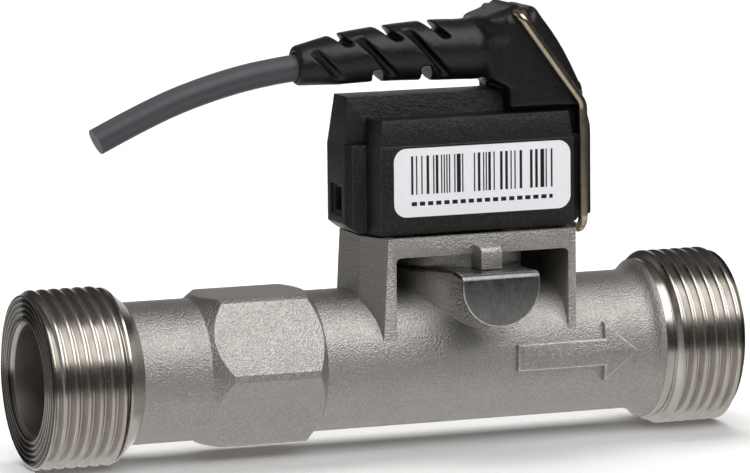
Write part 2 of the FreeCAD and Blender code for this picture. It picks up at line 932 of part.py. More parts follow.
def make_ridge():
    body = new_body("Ridge")
    end = "socket_axis - socket_half_length + socket_wall / 2"
    foot = outline(body, "RidgeFoot", "XY_Plane", rectangle(
        "cover_step / 4 - bar_left", "-ridge_half", end, "ridge_half"),
        lift=f"{SEAT_Z} + split", shift=SEAT_X)
    top = outline(body, "RidgeTop", "XY_Plane", rectangle(
        "ridge_slope - bar_left", "ridge_taper - ridge_half", end, "ridge_half - ridge_taper"),
        lift=f"{SEAT_Z} + split + ridge_height", shift=SEAT_X)
    loft(body, foot, top)
    return body


def make_socket():
    """The open box round the pins."""
    body = new_body("Socket")
    wall = outline(body, "SocketWall", "XY_Plane", rectangle(
        "socket_axis - socket_half_length", "-socket_half_width",
        "socket_axis + socket_half_length", "socket_half_width"),
        lift=f"{SEAT_Z} + split + cover_ceiling", shift=SEAT_X)
    pad(body, wall, "socket_top - split - cover_ceiling")
    return body


def make_housing_cover():
    tail = head_box("CoverTail", "0", "-ridge_half", "split",
                    "bar_right - cover_step", "2 * ridge_half", "shoulder_height")
    rim = head_box("Lip", "lip_play - room_half_length", "lip_play - room_half_width",
                   "split - lip_height", "2 * (room_half_length - lip_play)",
                   "2 * (room_half_width - lip_play)", "lip_height + cover_ceiling / 2")
    outer = fuse("CoverForm", [make_cover_shell(), make_ridge(), make_socket(), tail, rim])
    room = head_box("CoverRoom", "lip_play + lip_wall - room_half_length",
                    "lip_play + lip_wall - room_half_width", "split - 2 * lip_height",
                    "2 * (room_half_length - lip_play - lip_wall)",
                    "2 * (room_half_width - lip_play - lip_wall)", "2 * lip_height + cover_ceiling")
    well = head_box("SocketWell", "socket_axis - socket_half_length + socket_wall",
                    "socket_wall - socket_half_width", "split + shoulder_height",
                    "2 * (socket_half_length - socket_wall)",
                    "2 * (socket_half_width - socket_wall)", "socket_top")
    holes = pin_row("CoverPinHole", "pin_radius + pin_play", "split", "socket_top")
    hollow = fuse("CoverHollow", [room, well] + holes)
    keep("housing_cover", cut("HousingCover", outer, hollow))


# Electronics

def make_circuit_board():
    sheet_part = head_box("BoardSheet", "board_play - room_half_length",
                          "board_play - room_half_width", "board_level",
                          "2 * (room_half_length - board_play)",
                          "2 * (room_half_width - board_play)", "board_sheet")
    holes = fuse("BoardHoles", pin_row("BoardPinHole", "pin_radius + pin_play",
                                       "board_level - board_sheet", "3 * board_sheet"))
    keep("circuit_board", cut("CircuitBoard", sheet_part, holes))


# Place along the board, place across it, length, width and height, in steps of the board's grid
COMPONENTS = [
    (-6.0, 0.6, 5.0, 5.0, 1.0),
    (-11.5, 2.5, 2.6, 1.6, 0.7),
    (-11.5, -0.8, 2.6, 1.6, 0.7),
    (-11.0, -3.8, 3.2, 1.8, 1.2),
    (0.4, 2.4, 2.0, 1.2, 0.6),
    (0.4, -0.4, 2.0, 1.2, 0.6),
    (-2.0, -3.8, 4.0, 2.4, 1.5),
    (4.0, 3.2, 1.6, 3.0, 0.9),
]


def make_board_components():
    chips = []
    for i, (along, across, length, width, height) in enumerate(COMPONENTS, start=1):
        chips.append(head_box(f"Component{i}", f"{along - length / 2} * board_grid",
                              f"{across - width / 2} * board_grid", "board_level + board_sheet",
                              f"{length} * board_grid", f"{width} * board_grid", f"{height} * board_grid"))
    keep("board_components", group("BoardComponents", chips))


def make_pin_header():
    block = head_box("HeaderBlock", "socket_axis - 2 * pin_pitch", "-pin_pitch",
                     "board_level + board_sheet", "4 * pin_pitch", "2 * pin_pitch", "header_height")
    holes = fuse("HeaderHoles", pin_row("HeaderPinHole", "pin_radius",
                                        "board_level", "2 * header_height + board_sheet"))
    keep("pin_header", cut("PinHeader", block, holes))


def make_connector_pins():
    pins = pin_row("Pin", "pin_radius", "board_level - pin_tail", "pin_top - board_level + pin_tail")
    keep("connector_pins", group("ConnectorPins", pins))


# Plug with its boot

def head_profile():
    """Side view of the plug's head, without the skirt."""
    return [
        ("plug_back", "plug_back_height"),
        ("plug_back + plug_edge", "plug_throat + plug_edge"),
        ("plug_back + 3 * plug_edge", "plug_throat"),
        ("cheek_left", "plug_throat"),
        ("cheek_left", "plug_bottom"),
        ("skirt_inner + skirt_sheet", "plug_bottom"),
        ("skirt_inner", "brow_height"),
        ("crown_end", "crown_height"),
        ("crown_start", "crown_height"),
    ]


def make_plug_head():
    body = new_body("PlugHead")
    profile = outline(body, "HeadProfile", "XZ_Plane", head_profile(), shift=SEAT_X, rise=SEAT_Z)
    block = pad(body, profile, "2 * plug_half_width", midplane=True)
    side = size("plug_half_width")
    floor = size("tower_top") + size("seat_gap") + size("plug_throat")

    def across(x_name, z_name):
        spot = seat_point(size(x_name), 0, size(z_name))
        return lambda point: near(point.x, spot.x) and near(point.z, spot.z)

    crown = eased(body, block, "CrownStart", "2 * plug_edge", across("crown_start", "crown_height"))
    crown = eased(body, crown, "CrownEnd", "2 * plug_edge", across("crown_end", "crown_height"))
    crown = eased(body, crown, "Brow", "4 * plug_edge", across("skirt_inner", "brow_height"))
    eased(body, crown, "HeadEdges", "head_edge",
          lambda point: near(abs(point.y), side) and point.z > floor + size("plug_play") / 2)
    corner = [
        ("plug_back - plug_play", "plug_half_width + plug_play"), ("plug_back - plug_play", "neck_half"),
        ("plug_back", "neck_half"), ("neck_end", "plug_half_width"),
        ("neck_end", "plug_half_width + plug_play"),
    ]
    mirrored = [(x, f"-({y})") for x, y in corner]
    taper = outline(body, "NeckTaper", "XY_Plane", corner, mirrored,
                    lift=f"{SEAT_Z} + plug_throat - plug_play", shift=SEAT_X)
    pocket(body, taper, "crown_height - plug_throat + 2 * plug_play", reverse=True)
    return body


def make_skirt():
    """The thin wall that hangs from the head over the housing's right end."""
    body = new_body("Skirt")
    profile = outline(body, "SkirtProfile", "XZ_Plane", [
        ("skirt_inner", "skirt_bottom"),
        ("skirt_inner + skirt_sheet", "skirt_bottom"),
        ("skirt_inner + skirt_sheet", "plug_bottom"),
        ("skirt_inner + skirt_sheet / 2", "brow_height"),
        ("skirt_inner", "brow_height"),
    ], shift=SEAT_X, rise=SEAT_Z)
    pad(body, profile, "2 * skirt_half", midplane=True)
    return body


def leaning(low, high, low_x, high_x, width):
    """Four corners of a slot whose walls lean from one level to another."""
    return [(low_x, low), (f"{low_x} + {width}", low), (f"{high_x} + {width}", high), (high_x, high)]


def cut_slots(body):
    """Slots that lean along both sides, and hooked notches on top and underneath."""
    rim = "boot_root_radius"
    for i in range(3):
        start = f"slot_first + {i} * slot_pitch - slot_width / 2"
        for name, turn, side in (("Front", False, 1), ("Back", True, -1)):
            slot = outline(body, f"{name}Slot{i + 1}", "XZ_Plane", leaning(
                f"-{rim}", rim, f"{start} + {side} * slot_slant / 2", f"{start} - {side} * slot_slant / 2",
                "slot_width"), lift=f"{side} * slot_core")
            pocket(body, slot, rim, reverse=not turn)
    for i in range(3):
        floor = f"notch_first + {i} * notch_pitch"
        notch = outline(body, f"TopNotch{i + 1}", "XZ_Plane", leaning(
            "notch_core", rim, floor, f"{floor} - ({rim} - notch_core)", "notch_width"))
        pocket(body, notch, f"3 * {rim}", midplane=True)
    for i in range(2):
        floor = f"under_first + {i} * notch_pitch"
        notch = outline(body, f"UnderNotch{i + 1}", "XZ_Plane", leaning(
            f"-{rim}", "-notch_core", f"{floor} + under_lean", floor, "notch_width"))
        pocket(body, notch, f"3 * {rim}", midplane=True)


def make_boot():
    """The ribbed sleeve for the cable, in its own frame along its axis."""
    body = new_body("Boot")
    profile = outline(body, "BootProfile", "XZ_Plane", [
        ("0", "0"),
        ("0", "boot_tip_radius - boot_edge"),
        ("boot_edge", "boot_tip_radius"),
        ("boot_flare", "boot_flare_radius"),
        ("boot_swell", "boot_root_radius"),
        ("boot_length", "boot_root_radius"),
        ("boot_length", "0"),
    ])
    turned(body, profile, "H_Axis")
    cut_slots(body)
    body.Placement = FreeCAD.Placement(FreeCAD.Vector(), FreeCAD.Rotation(FreeCAD.Vector(0, -1, 0), 1))
    bind(body, Placement__Rotation__Angle="boot_tilt")
    place(body, f"{SEAT_X} - boot_tip_x", "0", f"{SEAT_Z} + boot_tip_height")
    return body


def boot_point(along):
    """A point on the boot's axis, measured from its tip."""
    turn = math.radians(size("boot_tilt"))
    return seat_point(-size("boot_tip_x") + along * math.cos(turn), 0,
                      size("boot_tip_height") + along * math.sin(turn))


def boot_distance(x):
    """Distance along the boot's axis to a place measured from the seat."""
    return (x + size("boot_tip_x")) / math.cos(math.radians(size("boot_tilt")))


def make_plug_passages():
    """Room for the socket, the ridge, the conductors, the cable and the wire's ends."""
    play = "plug_play"
    chamber = head_box("PlugRoom", f"socket_axis - socket_half_length - {play}",
                       f"-(socket_half_width + {play})", "plug_bottom - plug_edge",
                       f"2 * (socket_half_length + {play})", f"2 * (socket_half_width + {play})",
                       "plug_ceiling - plug_bottom + plug_edge")
    throat = head_box("RidgeRoom", "0", f"-(ridge_half + {play} - ridge_taper / 2)",
                      "plug_bottom - plug_edge", "socket_axis",
                      f"2 * (ridge_half + {play} - ridge_taper / 2)",
                      "plug_throat + plug_edge - plug_bottom")
    loft_room = head_box("ContactRoom", "channel_bend", "-channel_radius",
                         "plug_ceiling - plug_play", "socket_axis + 2 * pin_pitch - channel_bend",
                         "2 * channel_radius", "conductor_drop + plug_play + 4 * conductor_radius")
    start = boot_point(0)
    heading = (boot_point(size("boot_length")) - start).normalize()
    channel = solid("Channel", Part.makeCylinder(
        size("channel_radius"), boot_distance(2.5 * size("channel_bend")), start, heading))
    grip = solid("CableGrip", Part.makeCylinder(
        size("cable_radius"), 2 * size("cable_grip"), boot_point(-size("cable_grip")), heading))
    ends = []
    for side in (-1, 1):
        depth = size("pivot_depth")
        middle = seat_point(size("pivot_x"), side * size("plug_half_width"), size("pivot_height"))
        start = middle - FreeCAD.Vector(0, side * depth, 0)
        radius = size("wire_radius") + size("pivot_play")
        ends.append(solid(f"WireHole{side + 2}", Part.makeCylinder(
            radius, 2 * depth, start, FreeCAD.Vector(0, side, 0))))
    return [chamber, throat, loft_room, channel, grip] + ends


def make_crown_notch():
    body = new_body("CrownNotch")
    half = "notch_half"
    profile = outline(body, "NotchProfile", "XZ_Plane", [
        (f"notch_place - {half} * 2", "crown_height + notch_depth"),
        ("notch_place", "crown_height - notch_depth"),
        (f"notch_place + {half} * 2", "crown_height + notch_depth"),
    ], shift=SEAT_X, rise=SEAT_Z)
    pad(body, profile, "4 * plug_half_width", midplane=True)
    return body


def make_plug_body():
    form = fuse("PlugForm", [make_plug_head(), make_skirt(), make_boot()])
    waste = fuse("PlugWaste", make_plug_passages() + [make_crown_notch()])
    keep("plug_body", cut("PlugBody", form, waste))


def make_plug_insert():
    """The block that holds the contacts, inside the socket's walls."""
    half_x = "(socket_half_length - socket_wall - insert_gap)"
    half_y = "(socket_half_width - socket_wall - insert_gap)"
    block = head_box("InsertBlock", f"socket_axis - {half_x}", f"-{half_y}", "insert_bottom",
                     f"2 * {half_x}", f"2 * {half_y}", "plug_ceiling - insert_bottom")
    holes = fuse("InsertHoles", pin_row("InsertHole", "pin_radius + pin_play + contact_wall",
                                        "insert_bottom - contact_wall", "plug_ceiling"))
    keep("plug_insert", cut("PlugInsert", block, holes))


def make_plug_contacts():
    """Sleeves on the pins, closed above them."""
    sleeves = fuse("Sleeves", pin_row("Sleeve", "pin_radius + pin_play + contact_wall",
                                      "insert_bottom", "plug_ceiling - insert_bottom"))
    bores = fuse("SleeveBores", pin_row("SleeveBore", "pin_radius + pin_play",
                                        "insert_bottom - pin_play",
                                        "pin_top - insert_bottom + 4 * pin_play"))
    keep("plug_contacts", cut("PlugContacts", sleeves, bores))


def make_plug_seal():
    """A flat ring on the rim of the socket."""
    ring = head_box("SealBlock", "socket_axis - socket_half_length", "-socket_half_width",
                    "socket_top", "2 * socket_half_length", "2 * socket_half_width",
                    "plug_ceiling - socket_top")
    hole = head_box("SealHole", "socket_axis - socket_half_length + socket_wall",
                    "socket_wall - socket_half_width", "socket_top - plug_play",
                    "2 * (socket_half_length - socket_wall)",
                    "2 * (socket_half_width - socket_wall)", "plug_ceiling")
    keep("plug_seal", cut("PlugSeal", ring, hole))


def make_conductors():
    """One conductor from the cable's end to each contact, trimmed flat on top of it."""
    wires = []
    radius = size("conductor_radius")
    spacing = 2 * radius + size("conductor_gap")
    start = boot_point(size("cable_grip"))
    bend = boot_point(boot_distance(size("channel_bend")))
    for i, place_along in enumerate(PIN_PLACES, start=1):
        offset = FreeCAD.Vector(0, place_along * spacing, 0)
        top = seat_point(size("socket_axis") + place_along * size("pin_pitch"), 0, size("plug_ceiling"))
        above = top + offset + FreeCAD.Vector(0, 0, size("conductor_drop"))
        foot = top + (top - above).normalize() * 2 * radius
        path = Part.makePolygon([start + offset, bend + offset, above, foot])
        wires.append(solid(f"Conductor{i}", swept_round(path, radius, mitred=True)))
    waste = head_box("ConductorEnds", "0", "-socket_half_width", "insert_bottom",
                     "2 * socket_axis", "2 * socket_half_width", "plug_ceiling - insert_bottom")
    keep("conductors", cut("TrimmedConductors", group("Conductors", wires), waste))


# Bail wire, label and cable

def make_bail_wire():
    """A closed wire: ends in the crown, legs down both sides, foot under the bar."""
    radius = size("wire_radius")
    side = size("plug_half_width") + size("side_gap") + radius
    inner = size("plug_half_width") - size("pivot_depth")
    foot = -(size("foot_gap") + radius)
    right = [
        seat_point(size("pivot_x"), inner, size("pivot_height")),
        seat_point(size("pivot_x"), side, size("pivot_height")),
        seat_point(size("knee_x"), side, size("knee_height")),
        seat_point(size("knee_x"), side, foot),
    ]
    left = [FreeCAD.Vector(point.x, -point.y, point.z) for point in right]
    bends = [size("eye_bend"), size("knee_bend"), size("foot_bend")]
    path = wire_path(left + right[::-1], bends + bends[::-1])
    keep("bail_wire", solid("BailWire", swept_round(path, radius)))


def make_label():
    body = new_body("Label")
    frame = outline(body, "LabelFace", "XZ_Plane", rectangle(
        "-label_left", "label_low", "label_width - label_left", "label_low + label_height"),
        lift="block_half_width", shift=SEAT_X, rise=SEAT_Z)
    plate = pad(body, frame, "label_sheet")
    faces = (-size("block_half_width"), -(size("block_half_width") + size("label_sheet")))

    def through(point):
        return faces[1] + 0.01 < point.y < faces[0] - 0.01

    doc.recompute()
    corners = []
    for number, edge in enumerate(plate.Shape.Edges, start=1):
        if through(edge.valueAt((edge.FirstParameter + edge.LastParameter) / 2)):
            corners.append(f"Edge{number}")
    fillet = body.newObject("PartDesign::Fillet", "LabelCorners")
    fillet.Base = (plate, corners)
    bind(fillet, Radius="label_corner")
    keep("label", body)


def make_cable():
    """Straight runs and tangent arcs from inside the boot to the cut end."""
    points = [boot_point(size("cable_grip"))]
    points += [seat_point(x, 0, z) for x, z in CABLE_ROUTE]
    radii = []
    for before, point, after in zip(points, points[1:], points[2:]):
        first = before - point
        last = after - point
        half = first.getAngle(last) / 2
        shorter = min(first.Length, last.Length)
        radii.append(0.45 * shorter * math.tan(half))
    path = wire_path(points, radii)
    shape = swept_round(path, size("cable_radius"))
    section = math.pi * size("cable_radius") ** 2
    print("cable bend radii", [round(radius, 1) for radius in radii])
    print("cable volume over section times length", round(shape.Volume / (section * path.Length), 5))
    keep("cable", solid("Cable", shape))


def check_and_export():
    """Stops on any failed object, then writes one file for each piece."""
    doc.recompute()
    for item in doc.Objects:
        if "Invalid" in item.State or "Error" in item.State:
            raise RuntimeError(f"{item.Name} failed: {item.State}")
    os.makedirs("parts", exist_ok=True)
    for name, item in parts.items():
        shape = item.Shape
        if shape.isNull() or not shape.isValid() or not shape.Solids:
            raise RuntimeError(f"{name} has no valid shape")
        shape.exportStep(f"parts/{name}.step")
        print(name, len(shape.Solids), round(shape.Volume, 1))


make_pipe_body()
make_bluff_body()
make_sensor_stem()
make_stem_o_ring()
make_sensing_tip()
make_sensor_chip()
make_sensor_leads()
make_retaining_clip()
make_housing()
make_housing_cover()
make_circuit_board()
make_board_components()
make_pin_header()
make_connector_pins()
make_plug_body()
make_plug_insert()
make_plug_contacts()
make_plug_seal()
make_conductors()
make_bail_wire()
make_label()
make_cable()
check_and_export()
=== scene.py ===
"""Dresses the water flow sensor: machined threads, cast steel, moulded plastic, label, wire and cable."""
import math

import bmesh
import bpy
from bpy.props import FloatProperty, FloatVectorProperty, PointerProperty
from mathutils import Matrix, Vector


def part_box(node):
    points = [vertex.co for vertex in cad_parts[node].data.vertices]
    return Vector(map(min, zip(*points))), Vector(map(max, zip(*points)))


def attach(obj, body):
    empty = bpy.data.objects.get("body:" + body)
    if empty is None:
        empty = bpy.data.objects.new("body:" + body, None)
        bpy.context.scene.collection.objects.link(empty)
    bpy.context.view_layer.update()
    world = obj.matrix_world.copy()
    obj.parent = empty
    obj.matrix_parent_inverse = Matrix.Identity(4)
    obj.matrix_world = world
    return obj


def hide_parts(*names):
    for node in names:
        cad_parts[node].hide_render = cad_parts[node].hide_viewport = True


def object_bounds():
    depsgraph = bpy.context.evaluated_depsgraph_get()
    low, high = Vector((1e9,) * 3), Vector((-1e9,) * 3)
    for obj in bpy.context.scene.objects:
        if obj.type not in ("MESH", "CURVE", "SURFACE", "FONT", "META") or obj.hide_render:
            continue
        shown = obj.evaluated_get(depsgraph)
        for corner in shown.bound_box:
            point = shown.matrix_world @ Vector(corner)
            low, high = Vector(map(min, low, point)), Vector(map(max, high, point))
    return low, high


bl_info = {
    "name": "Flow sensor dressing",
    "version": (1, 0, 0),
    "blender": (4, 5, 0),
    "location": "3D View > Sidebar > Flow sensor",
    "description": "Builds the visible pieces of an inline water flow sensor round its packed solids",
    "category": "Object",
}

MM = 0.001
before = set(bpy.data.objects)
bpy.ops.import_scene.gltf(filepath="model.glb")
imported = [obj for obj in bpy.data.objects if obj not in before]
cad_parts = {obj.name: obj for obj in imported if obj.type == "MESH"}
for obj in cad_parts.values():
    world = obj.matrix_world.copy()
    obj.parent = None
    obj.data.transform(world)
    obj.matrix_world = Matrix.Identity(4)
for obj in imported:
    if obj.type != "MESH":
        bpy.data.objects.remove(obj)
CAD_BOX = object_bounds()

# Distances in metres within which points count as level, and as one
TOUCH = 1e-7
MERGE = 2e-6


# Settings

def number(name, description, value):
    return FloatProperty(name=name, description=description, default=value)


def size(name, description, millimetres):
    return FloatProperty(name=name, description=description, default=millimetres * MM, unit="LENGTH")


def point(name, description, place):
    """A place, given in millimetres."""
    return FloatVectorProperty(name=name, description=description, subtype="XYZ",
                               default=tuple(part * MM for part in place))


def tone(name, description, levels):
    return FloatVectorProperty(name=name, description=description, subtype="COLOR", default=levels)


class PipeSettings(bpy.types.PropertyGroup):
    """Sizes of the machined ends and of the cast edges."""

    pitch: size("Pitch", "Distance between two crests", 1.814)
    crest: size("Crest radius", "Radius over the crests", 13.22)
    root: size("Root radius", "Radius in the roots", 12.06)
    core: size("Core radius", "Radius of the cast core under the threads", 11.7)
    rim: size("Rim radius", "Outer radius of the end faces", 12.58)
    mouth: size("Mouth radius", "Radius of the bore's mouth", 8.84)
    mouth_depth: size("Mouth depth", "Length of the bore's turned lead-in", 0.95)
    sleeve: size("Turned bore radius", "Radius of the bore where it is turned", 8.285)
    sleeve_end: size("Turned bore end", "How far the turned bore reaches in", 20.0)
    inlet_end: size("Inlet thread end", "Where the inlet thread meets the casting", 11.9)
    outlet_start: size("Outlet thread start", "Where the outlet thread begins", 98.8)
    collar_crest: size("Shoulder radius", "Radius of the turned shoulder at the inlet", 12.95)
    cone_length: size("Cone length", "Length of the turned cone behind the inlet thread", 3.0)
    collar_length: size("Collar length", "Length of the turned collar at the outlet", 1.5)
    tube: size("Tube radius", "Radius of the cast tube", 10.55)
    length: size("Length", "Overall length of the pipe", 110)
    edge: size("Cast edge", "Rounding of the casting's edges", 0.45)
    nose_low: point("Nose low corner", "Low corner of a box round the nose", (66, -13.6, 9))
    nose_high: point("Nose high corner", "High corner of a box round the nose", (70.6, -9.95, 17.7))


class ArrowSettings(bpy.types.PropertyGroup):
    """The raised arrow on the front of the pipe."""

    start: size("Start", "Where the shaft begins", 73.45)
    shaft: size("Shaft", "Length of the shaft", 14.1)
    head: size("Head", "Length of the head", 5.45)
    shaft_half: size("Shaft half width", "Half the width of the shaft", 2.05)
    head_half: size("Head half width", "Half the width of the head", 4.5)
    rise: size("Rise", "Height over the tube", 0.62)
    wrap: number("Wrap", "How far the face follows the tube, from 0 to 1", 0.55)
    edge: size("Edge", "Rounding of the arrow's edges", 0.26)


class ColourSettings(bpy.types.PropertyGroup):
    """Colours of the finishes."""

    cast: tone("Cast steel", "Colour of the blasted casting", (0.56, 0.54, 0.512))
    turned: tone("Turned steel", "Colour of the machined ends", (0.62, 0.59, 0.55))
    sheet: tone("Sheet steel", "Colour of the clip", (0.25, 0.252, 0.248))
    wire: tone("Wire", "Colour of the bail wire", (0.62, 0.545, 0.41))
    housing: tone("Housing", "Colour of the moulded housing", (0.0070, 0.0067, 0.0064))
    plug: tone("Plug", "Colour of the overmoulded plug", (0.0065, 0.0066, 0.0068))
    cable: tone("Cable", "Colour of the cable's jacket", (0.058, 0.063, 0.070))
    label: tone("Label", "Colour of the label's film", (0.90, 0.91, 0.94))
    ink: tone("Ink", "Colour of the label's print", (0.012, 0.012, 0.013))


class PlugSettings(bpy.types.PropertyGroup):
    """The soft forms of the overmoulded plug."""

    tip: size("Boot tip", "Where the boot ends at the cable", 42.4)
    root: size("Boot root", "Where the boot leaves the head", 71)
    bend: size("Boot bend", "Rise of the boot's middle", 0.65)
    brow: point("Brow", "Low end of the sloping back", (86.5, 0.0, 40.1))
    crown: point("Crown", "High end of the sloping back", (78.6, 0.0, 52.4))
    bulge: size("Back bulge", "Rise of the sloping back's middle", 0.6)
    skirt: size("Skirt", "Thickness of the skirt under the brow", 1.05)
    skirt_side: size("Skirt half width", "Half the width of the skirt", 6.0)
    notch: size("Notch", "Place of the notch in the crown", 78.0)
    notch_depth: size("Notch depth", "Depth of the notch in the crown", 0.42)
    lean: size("Crown lean", "How far the crown's front slope sits back", 1.5)
    voxel: size("Skin grain", "Size of the cells of the plug's skin", 0.23)


class CableSettings(bpy.types.PropertyGroup):
    """The size of the cable."""

    cable_radius: size("Cable radius", "Radius of the cable", 2.0)


class StageSettings(bpy.types.PropertyGroup):
    """The camera."""

    azimuth: number("Azimuth", "Angle of view round the object, in degrees", -21.094)
    elevation: number("Elevation", "Angle of view above the horizon, in degrees", 8.003)
    roll: number("Roll", "Turn of the picture, in degrees", -0.549)
    distance: size("Distance", "From the camera to its target", 838.19)
    lens: number("Lens", "Focal length in millimetres on a 36 mm sensor", 269.497)
    target: point("Target", "The point that the camera looks at", (54.956, 0.0, 18.053))


# Meshes

def settings(name):
    return getattr(bpy.context.scene, name)


def add_object(name, data):
    holder = bpy.data.objects.new(name, data)
    bpy.context.collection.objects.link(holder)
    return holder


def new_piece(name, bm, body, material, smooth_angle):
    """Turns a bmesh into a finished piece on a body."""
    mesh = bpy.data.meshes.new(name)
    bm.normal_update()
    bm.to_mesh(mesh)
    bm.free()
    mesh.shade_smooth()
    mesh.set_sharp_from_angle(angle=math.radians(smooth_angle))
    mesh.materials.append(material)
    piece = add_object(name, mesh)
    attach(piece, body)
    return piece


def node_copy(node, whole_faces=True):
    """A merged copy of a solid's mesh, with its flat faces made whole."""
    bm = bmesh.new()
    bm.from_mesh(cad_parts[node].data)
    same_point = 1e-6
    nearly_flat = math.radians(0.6)
    bmesh.ops.remove_doubles(bm, verts=bm.verts, dist=same_point)
    if whole_faces:
        bmesh.ops.dissolve_limit(bm, angle_limit=nearly_flat, verts=bm.verts, edges=bm.edges)
    return bm


def soften(bm, width, angle, segments, test=None, marks_highlight=True):
    """Rounds the edges that turn by more than an angle, and marks the new faces for the painted edge
    highlight.
    """
    worn = bm.faces.layers.float.get("worn") or bm.faces.layers.float.new("worn")
    edges = []
    for edge in bm.edges:
        if len(edge.link_faces) == 2 and edge.calc_face_angle(0) > math.radians(angle):
            if test is None or test(edge):
                edges.append(edge)
    made = bmesh.ops.bevel(bm, geom=edges, offset=width, offset_type="OFFSET", segments=segments, profile=0.5,
                           affect="EDGES", clamp_overlap=True, material=-1)
    if marks_highlight:
        for face in made["faces"]:
            face[worn] = 1.0


def radius_of(co):
    return math.hypot(co.y, co.z)


def set_radius(vert, radius):
    now = radius_of(vert.co)
    vert.co.y *= radius / now
    vert.co.z *= radius / now


def ease(bm, verts, rounds):
    for _ in range(rounds):
        bmesh.ops.smooth_vert(bm, verts=verts, factor=0.5, use_axis_x=True, use_axis_y=True, use_axis_z=True)


def remeshed(bm, voxel, rounds):
    """An even skin over a closed shape, with its edges and corners eased."""
    mesh = bpy.data.meshes.new("skin")
    bm.to_mesh(mesh)
    bm.free()
    holder = add_object("skin", mesh)
    modifier = holder.modifiers.new("skin", "REMESH")
    modifier.mode = "VOXEL"
    modifier.voxel_size = voxel
    skin = bpy.data.meshes.new_from_object(holder.evaluated_get(bpy.context.evaluated_depsgraph_get()))
    bpy.data.objects.remove(holder)
    result = bmesh.new()
    result.from_mesh(skin)
    bpy.data.meshes.remove(skin)
    ease(result, result.verts, rounds)
    return result


# Materials

class NodeTree:
    """A node tree with helpers that add nodes and join them."""

    def __init__(self, tree):
        self.nodes = tree.nodes
        self.links = tree.links

    def add(self, kind, **values):
        node = self.nodes.new(kind)
        for name, value in values.items():
            setattr(node, name, value)
        return node

    def feed(self, value, socket):
        """Gives a socket another node's output or a constant."""
        if isinstance(value, bpy.types.NodeSocket):
            self.links.new(value, socket)
        else:
            socket.default_value = value

    def math(self, operation, first, second=0.0):
        node = self.add("ShaderNodeMath", operation=operation)
        self.feed(first, node.inputs[0])
        self.feed(second, node.inputs[1])
        return node.outputs[0]

    def remap(self, value, low, high, out_low=0.0, out_high=1.0, curve="LINEAR"):
        node = self.add("ShaderNodeMapRange", interpolation_type=curve)
        for key, level in (("From Min", low), ("From Max", high), ("To Min", out_low), ("To Max", out_high)):
            node.inputs[key].default_value = level
        self.links.new(value, node.inputs["Value"])
        return node.outputs["Result"]

    def split(self, vector):
        node = self.add("ShaderNodeSeparateXYZ")
        self.links.new(vector, node.inputs[0])
        return node.outputs


class Finish(NodeTree):
    """A principled material with helpers for grain, variation and relief."""

    def __init__(self, name, colour, roughness, metallic=0.0):
        self.material = bpy.data.materials.new(name)
        self.material.use_nodes = True
        super().__init__(self.material.node_tree)
        self.shader = self.nodes["Principled BSDF"]
        self.shader.inputs["Base Color"].default_value = (*colour, 1.0)
        self.shader.inputs["Roughness"].default_value = roughness
        self.shader.inputs["Metallic"].default_value = metallic
        self.place = self.add("ShaderNodeTexCoord").outputs["Object"]

    def noise(self, grain, detail=3.0, roughness=0.6, stretch=(1, 1, 1)):
        """Noise whose grains are about this many metres across."""
        mapping = self.add("ShaderNodeMapping")
        mapping.inputs["Scale"].default_value = [factor / grain for factor in stretch]
        self.links.new(self.place, mapping.inputs["Vector"])
        noise = self.add("ShaderNodeTexNoise")
        for key, value in (("Scale", 1.0), ("Detail", detail), ("Roughness", roughness)):
            noise.inputs[key].default_value = value
        self.links.new(mapping.outputs["Vector"], noise.inputs["Vector"])
        return noise.outputs["Fac"]

    def blend(self, value, first, second):
        """Runs the base colour from the first colour to the second with a value of 0 to 1."""
        mix = self.add("ShaderNodeMix", data_type="RGBA")
        colour_a, colour_b, blended = mix.inputs[6], mix.inputs[7], mix.outputs[2]
        for colour, socket in ((first, colour_a), (second, colour_b)):
            self.feed((*colour, 1.0) if isinstance(colour, tuple) else colour, socket)
        self.links.new(value, mix.inputs[0])
        self.links.new(blended, self.shader.inputs["Base Color"])
        return blended

    def painted_edge_highlights(self, base, colour, strength):
        """Lightens the rounded edges, unevenly, as a painted highlight."""
        mark = self.add("ShaderNodeAttribute", attribute_name="worn")
        # Painted highlight: the marked bevel faces get a lighter colour, unevenly
        uneven_highlight = self.remap(self.noise(0.9 * MM, 2.0), 0.3, 0.7, strength * 0.4, strength)
        amount = self.math("MULTIPLY", mark.outputs["Fac"], uneven_highlight)
        return self.blend(amount, base, colour)

    def vary_roughness(self, value, low, high):
        self.links.new(self.remap(value, 0.3, 0.7, low, high), self.shader.inputs["Roughness"])

    def relief(self, *layers):
        """Stacks bumps: each layer is a value and its height in metres."""
        previous = None
        for value, height in layers:
            bump = self.add("ShaderNodeBump")
            bump.inputs["Strength"].default_value = 1.0
            bump.inputs["Distance"].default_value = height
            self.links.new(value, bump.inputs["Height"])
            if previous:
                self.links.new(previous, bump.inputs["Normal"])
            previous = bump.outputs["Normal"]
        self.links.new(previous, self.shader.inputs["Normal"])


def colour_of(name):
    return tuple(getattr(settings("flow_colours"), name))


def scaled(colour, factor):
    return tuple(min(1.0, part * factor) for part in colour)


def cast_steel():
    """Blasted casting with fine pits, soft patches and painted highlights on the rounded edges."""
    colour = colour_of("cast")
    finish = Finish("cast steel", colour, 0.42, metallic=1.0)
    pits = finish.noise(0.25 * MM, 2.0, 0.5)
    patches = finish.noise(4.0 * MM, 3.0)
    base = finish.blend(finish.remap(pits, 0.35, 0.65), scaled(colour, 0.84), scaled(colour, 1.12))
    finish.painted_edge_highlights(base, scaled(colour, 1.8), 0.85)
    finish.vary_roughness(patches, 0.42, 0.52)
    finish.relief((pits, 0.15 * MM), (finish.noise(1.4 * MM, 2.0), 0.03 * MM))
    return finish.material


def shared_cast_steel():
    """The casting's finish, which the arrow has too."""
    return bpy.data.materials.get("cast steel") or cast_steel()


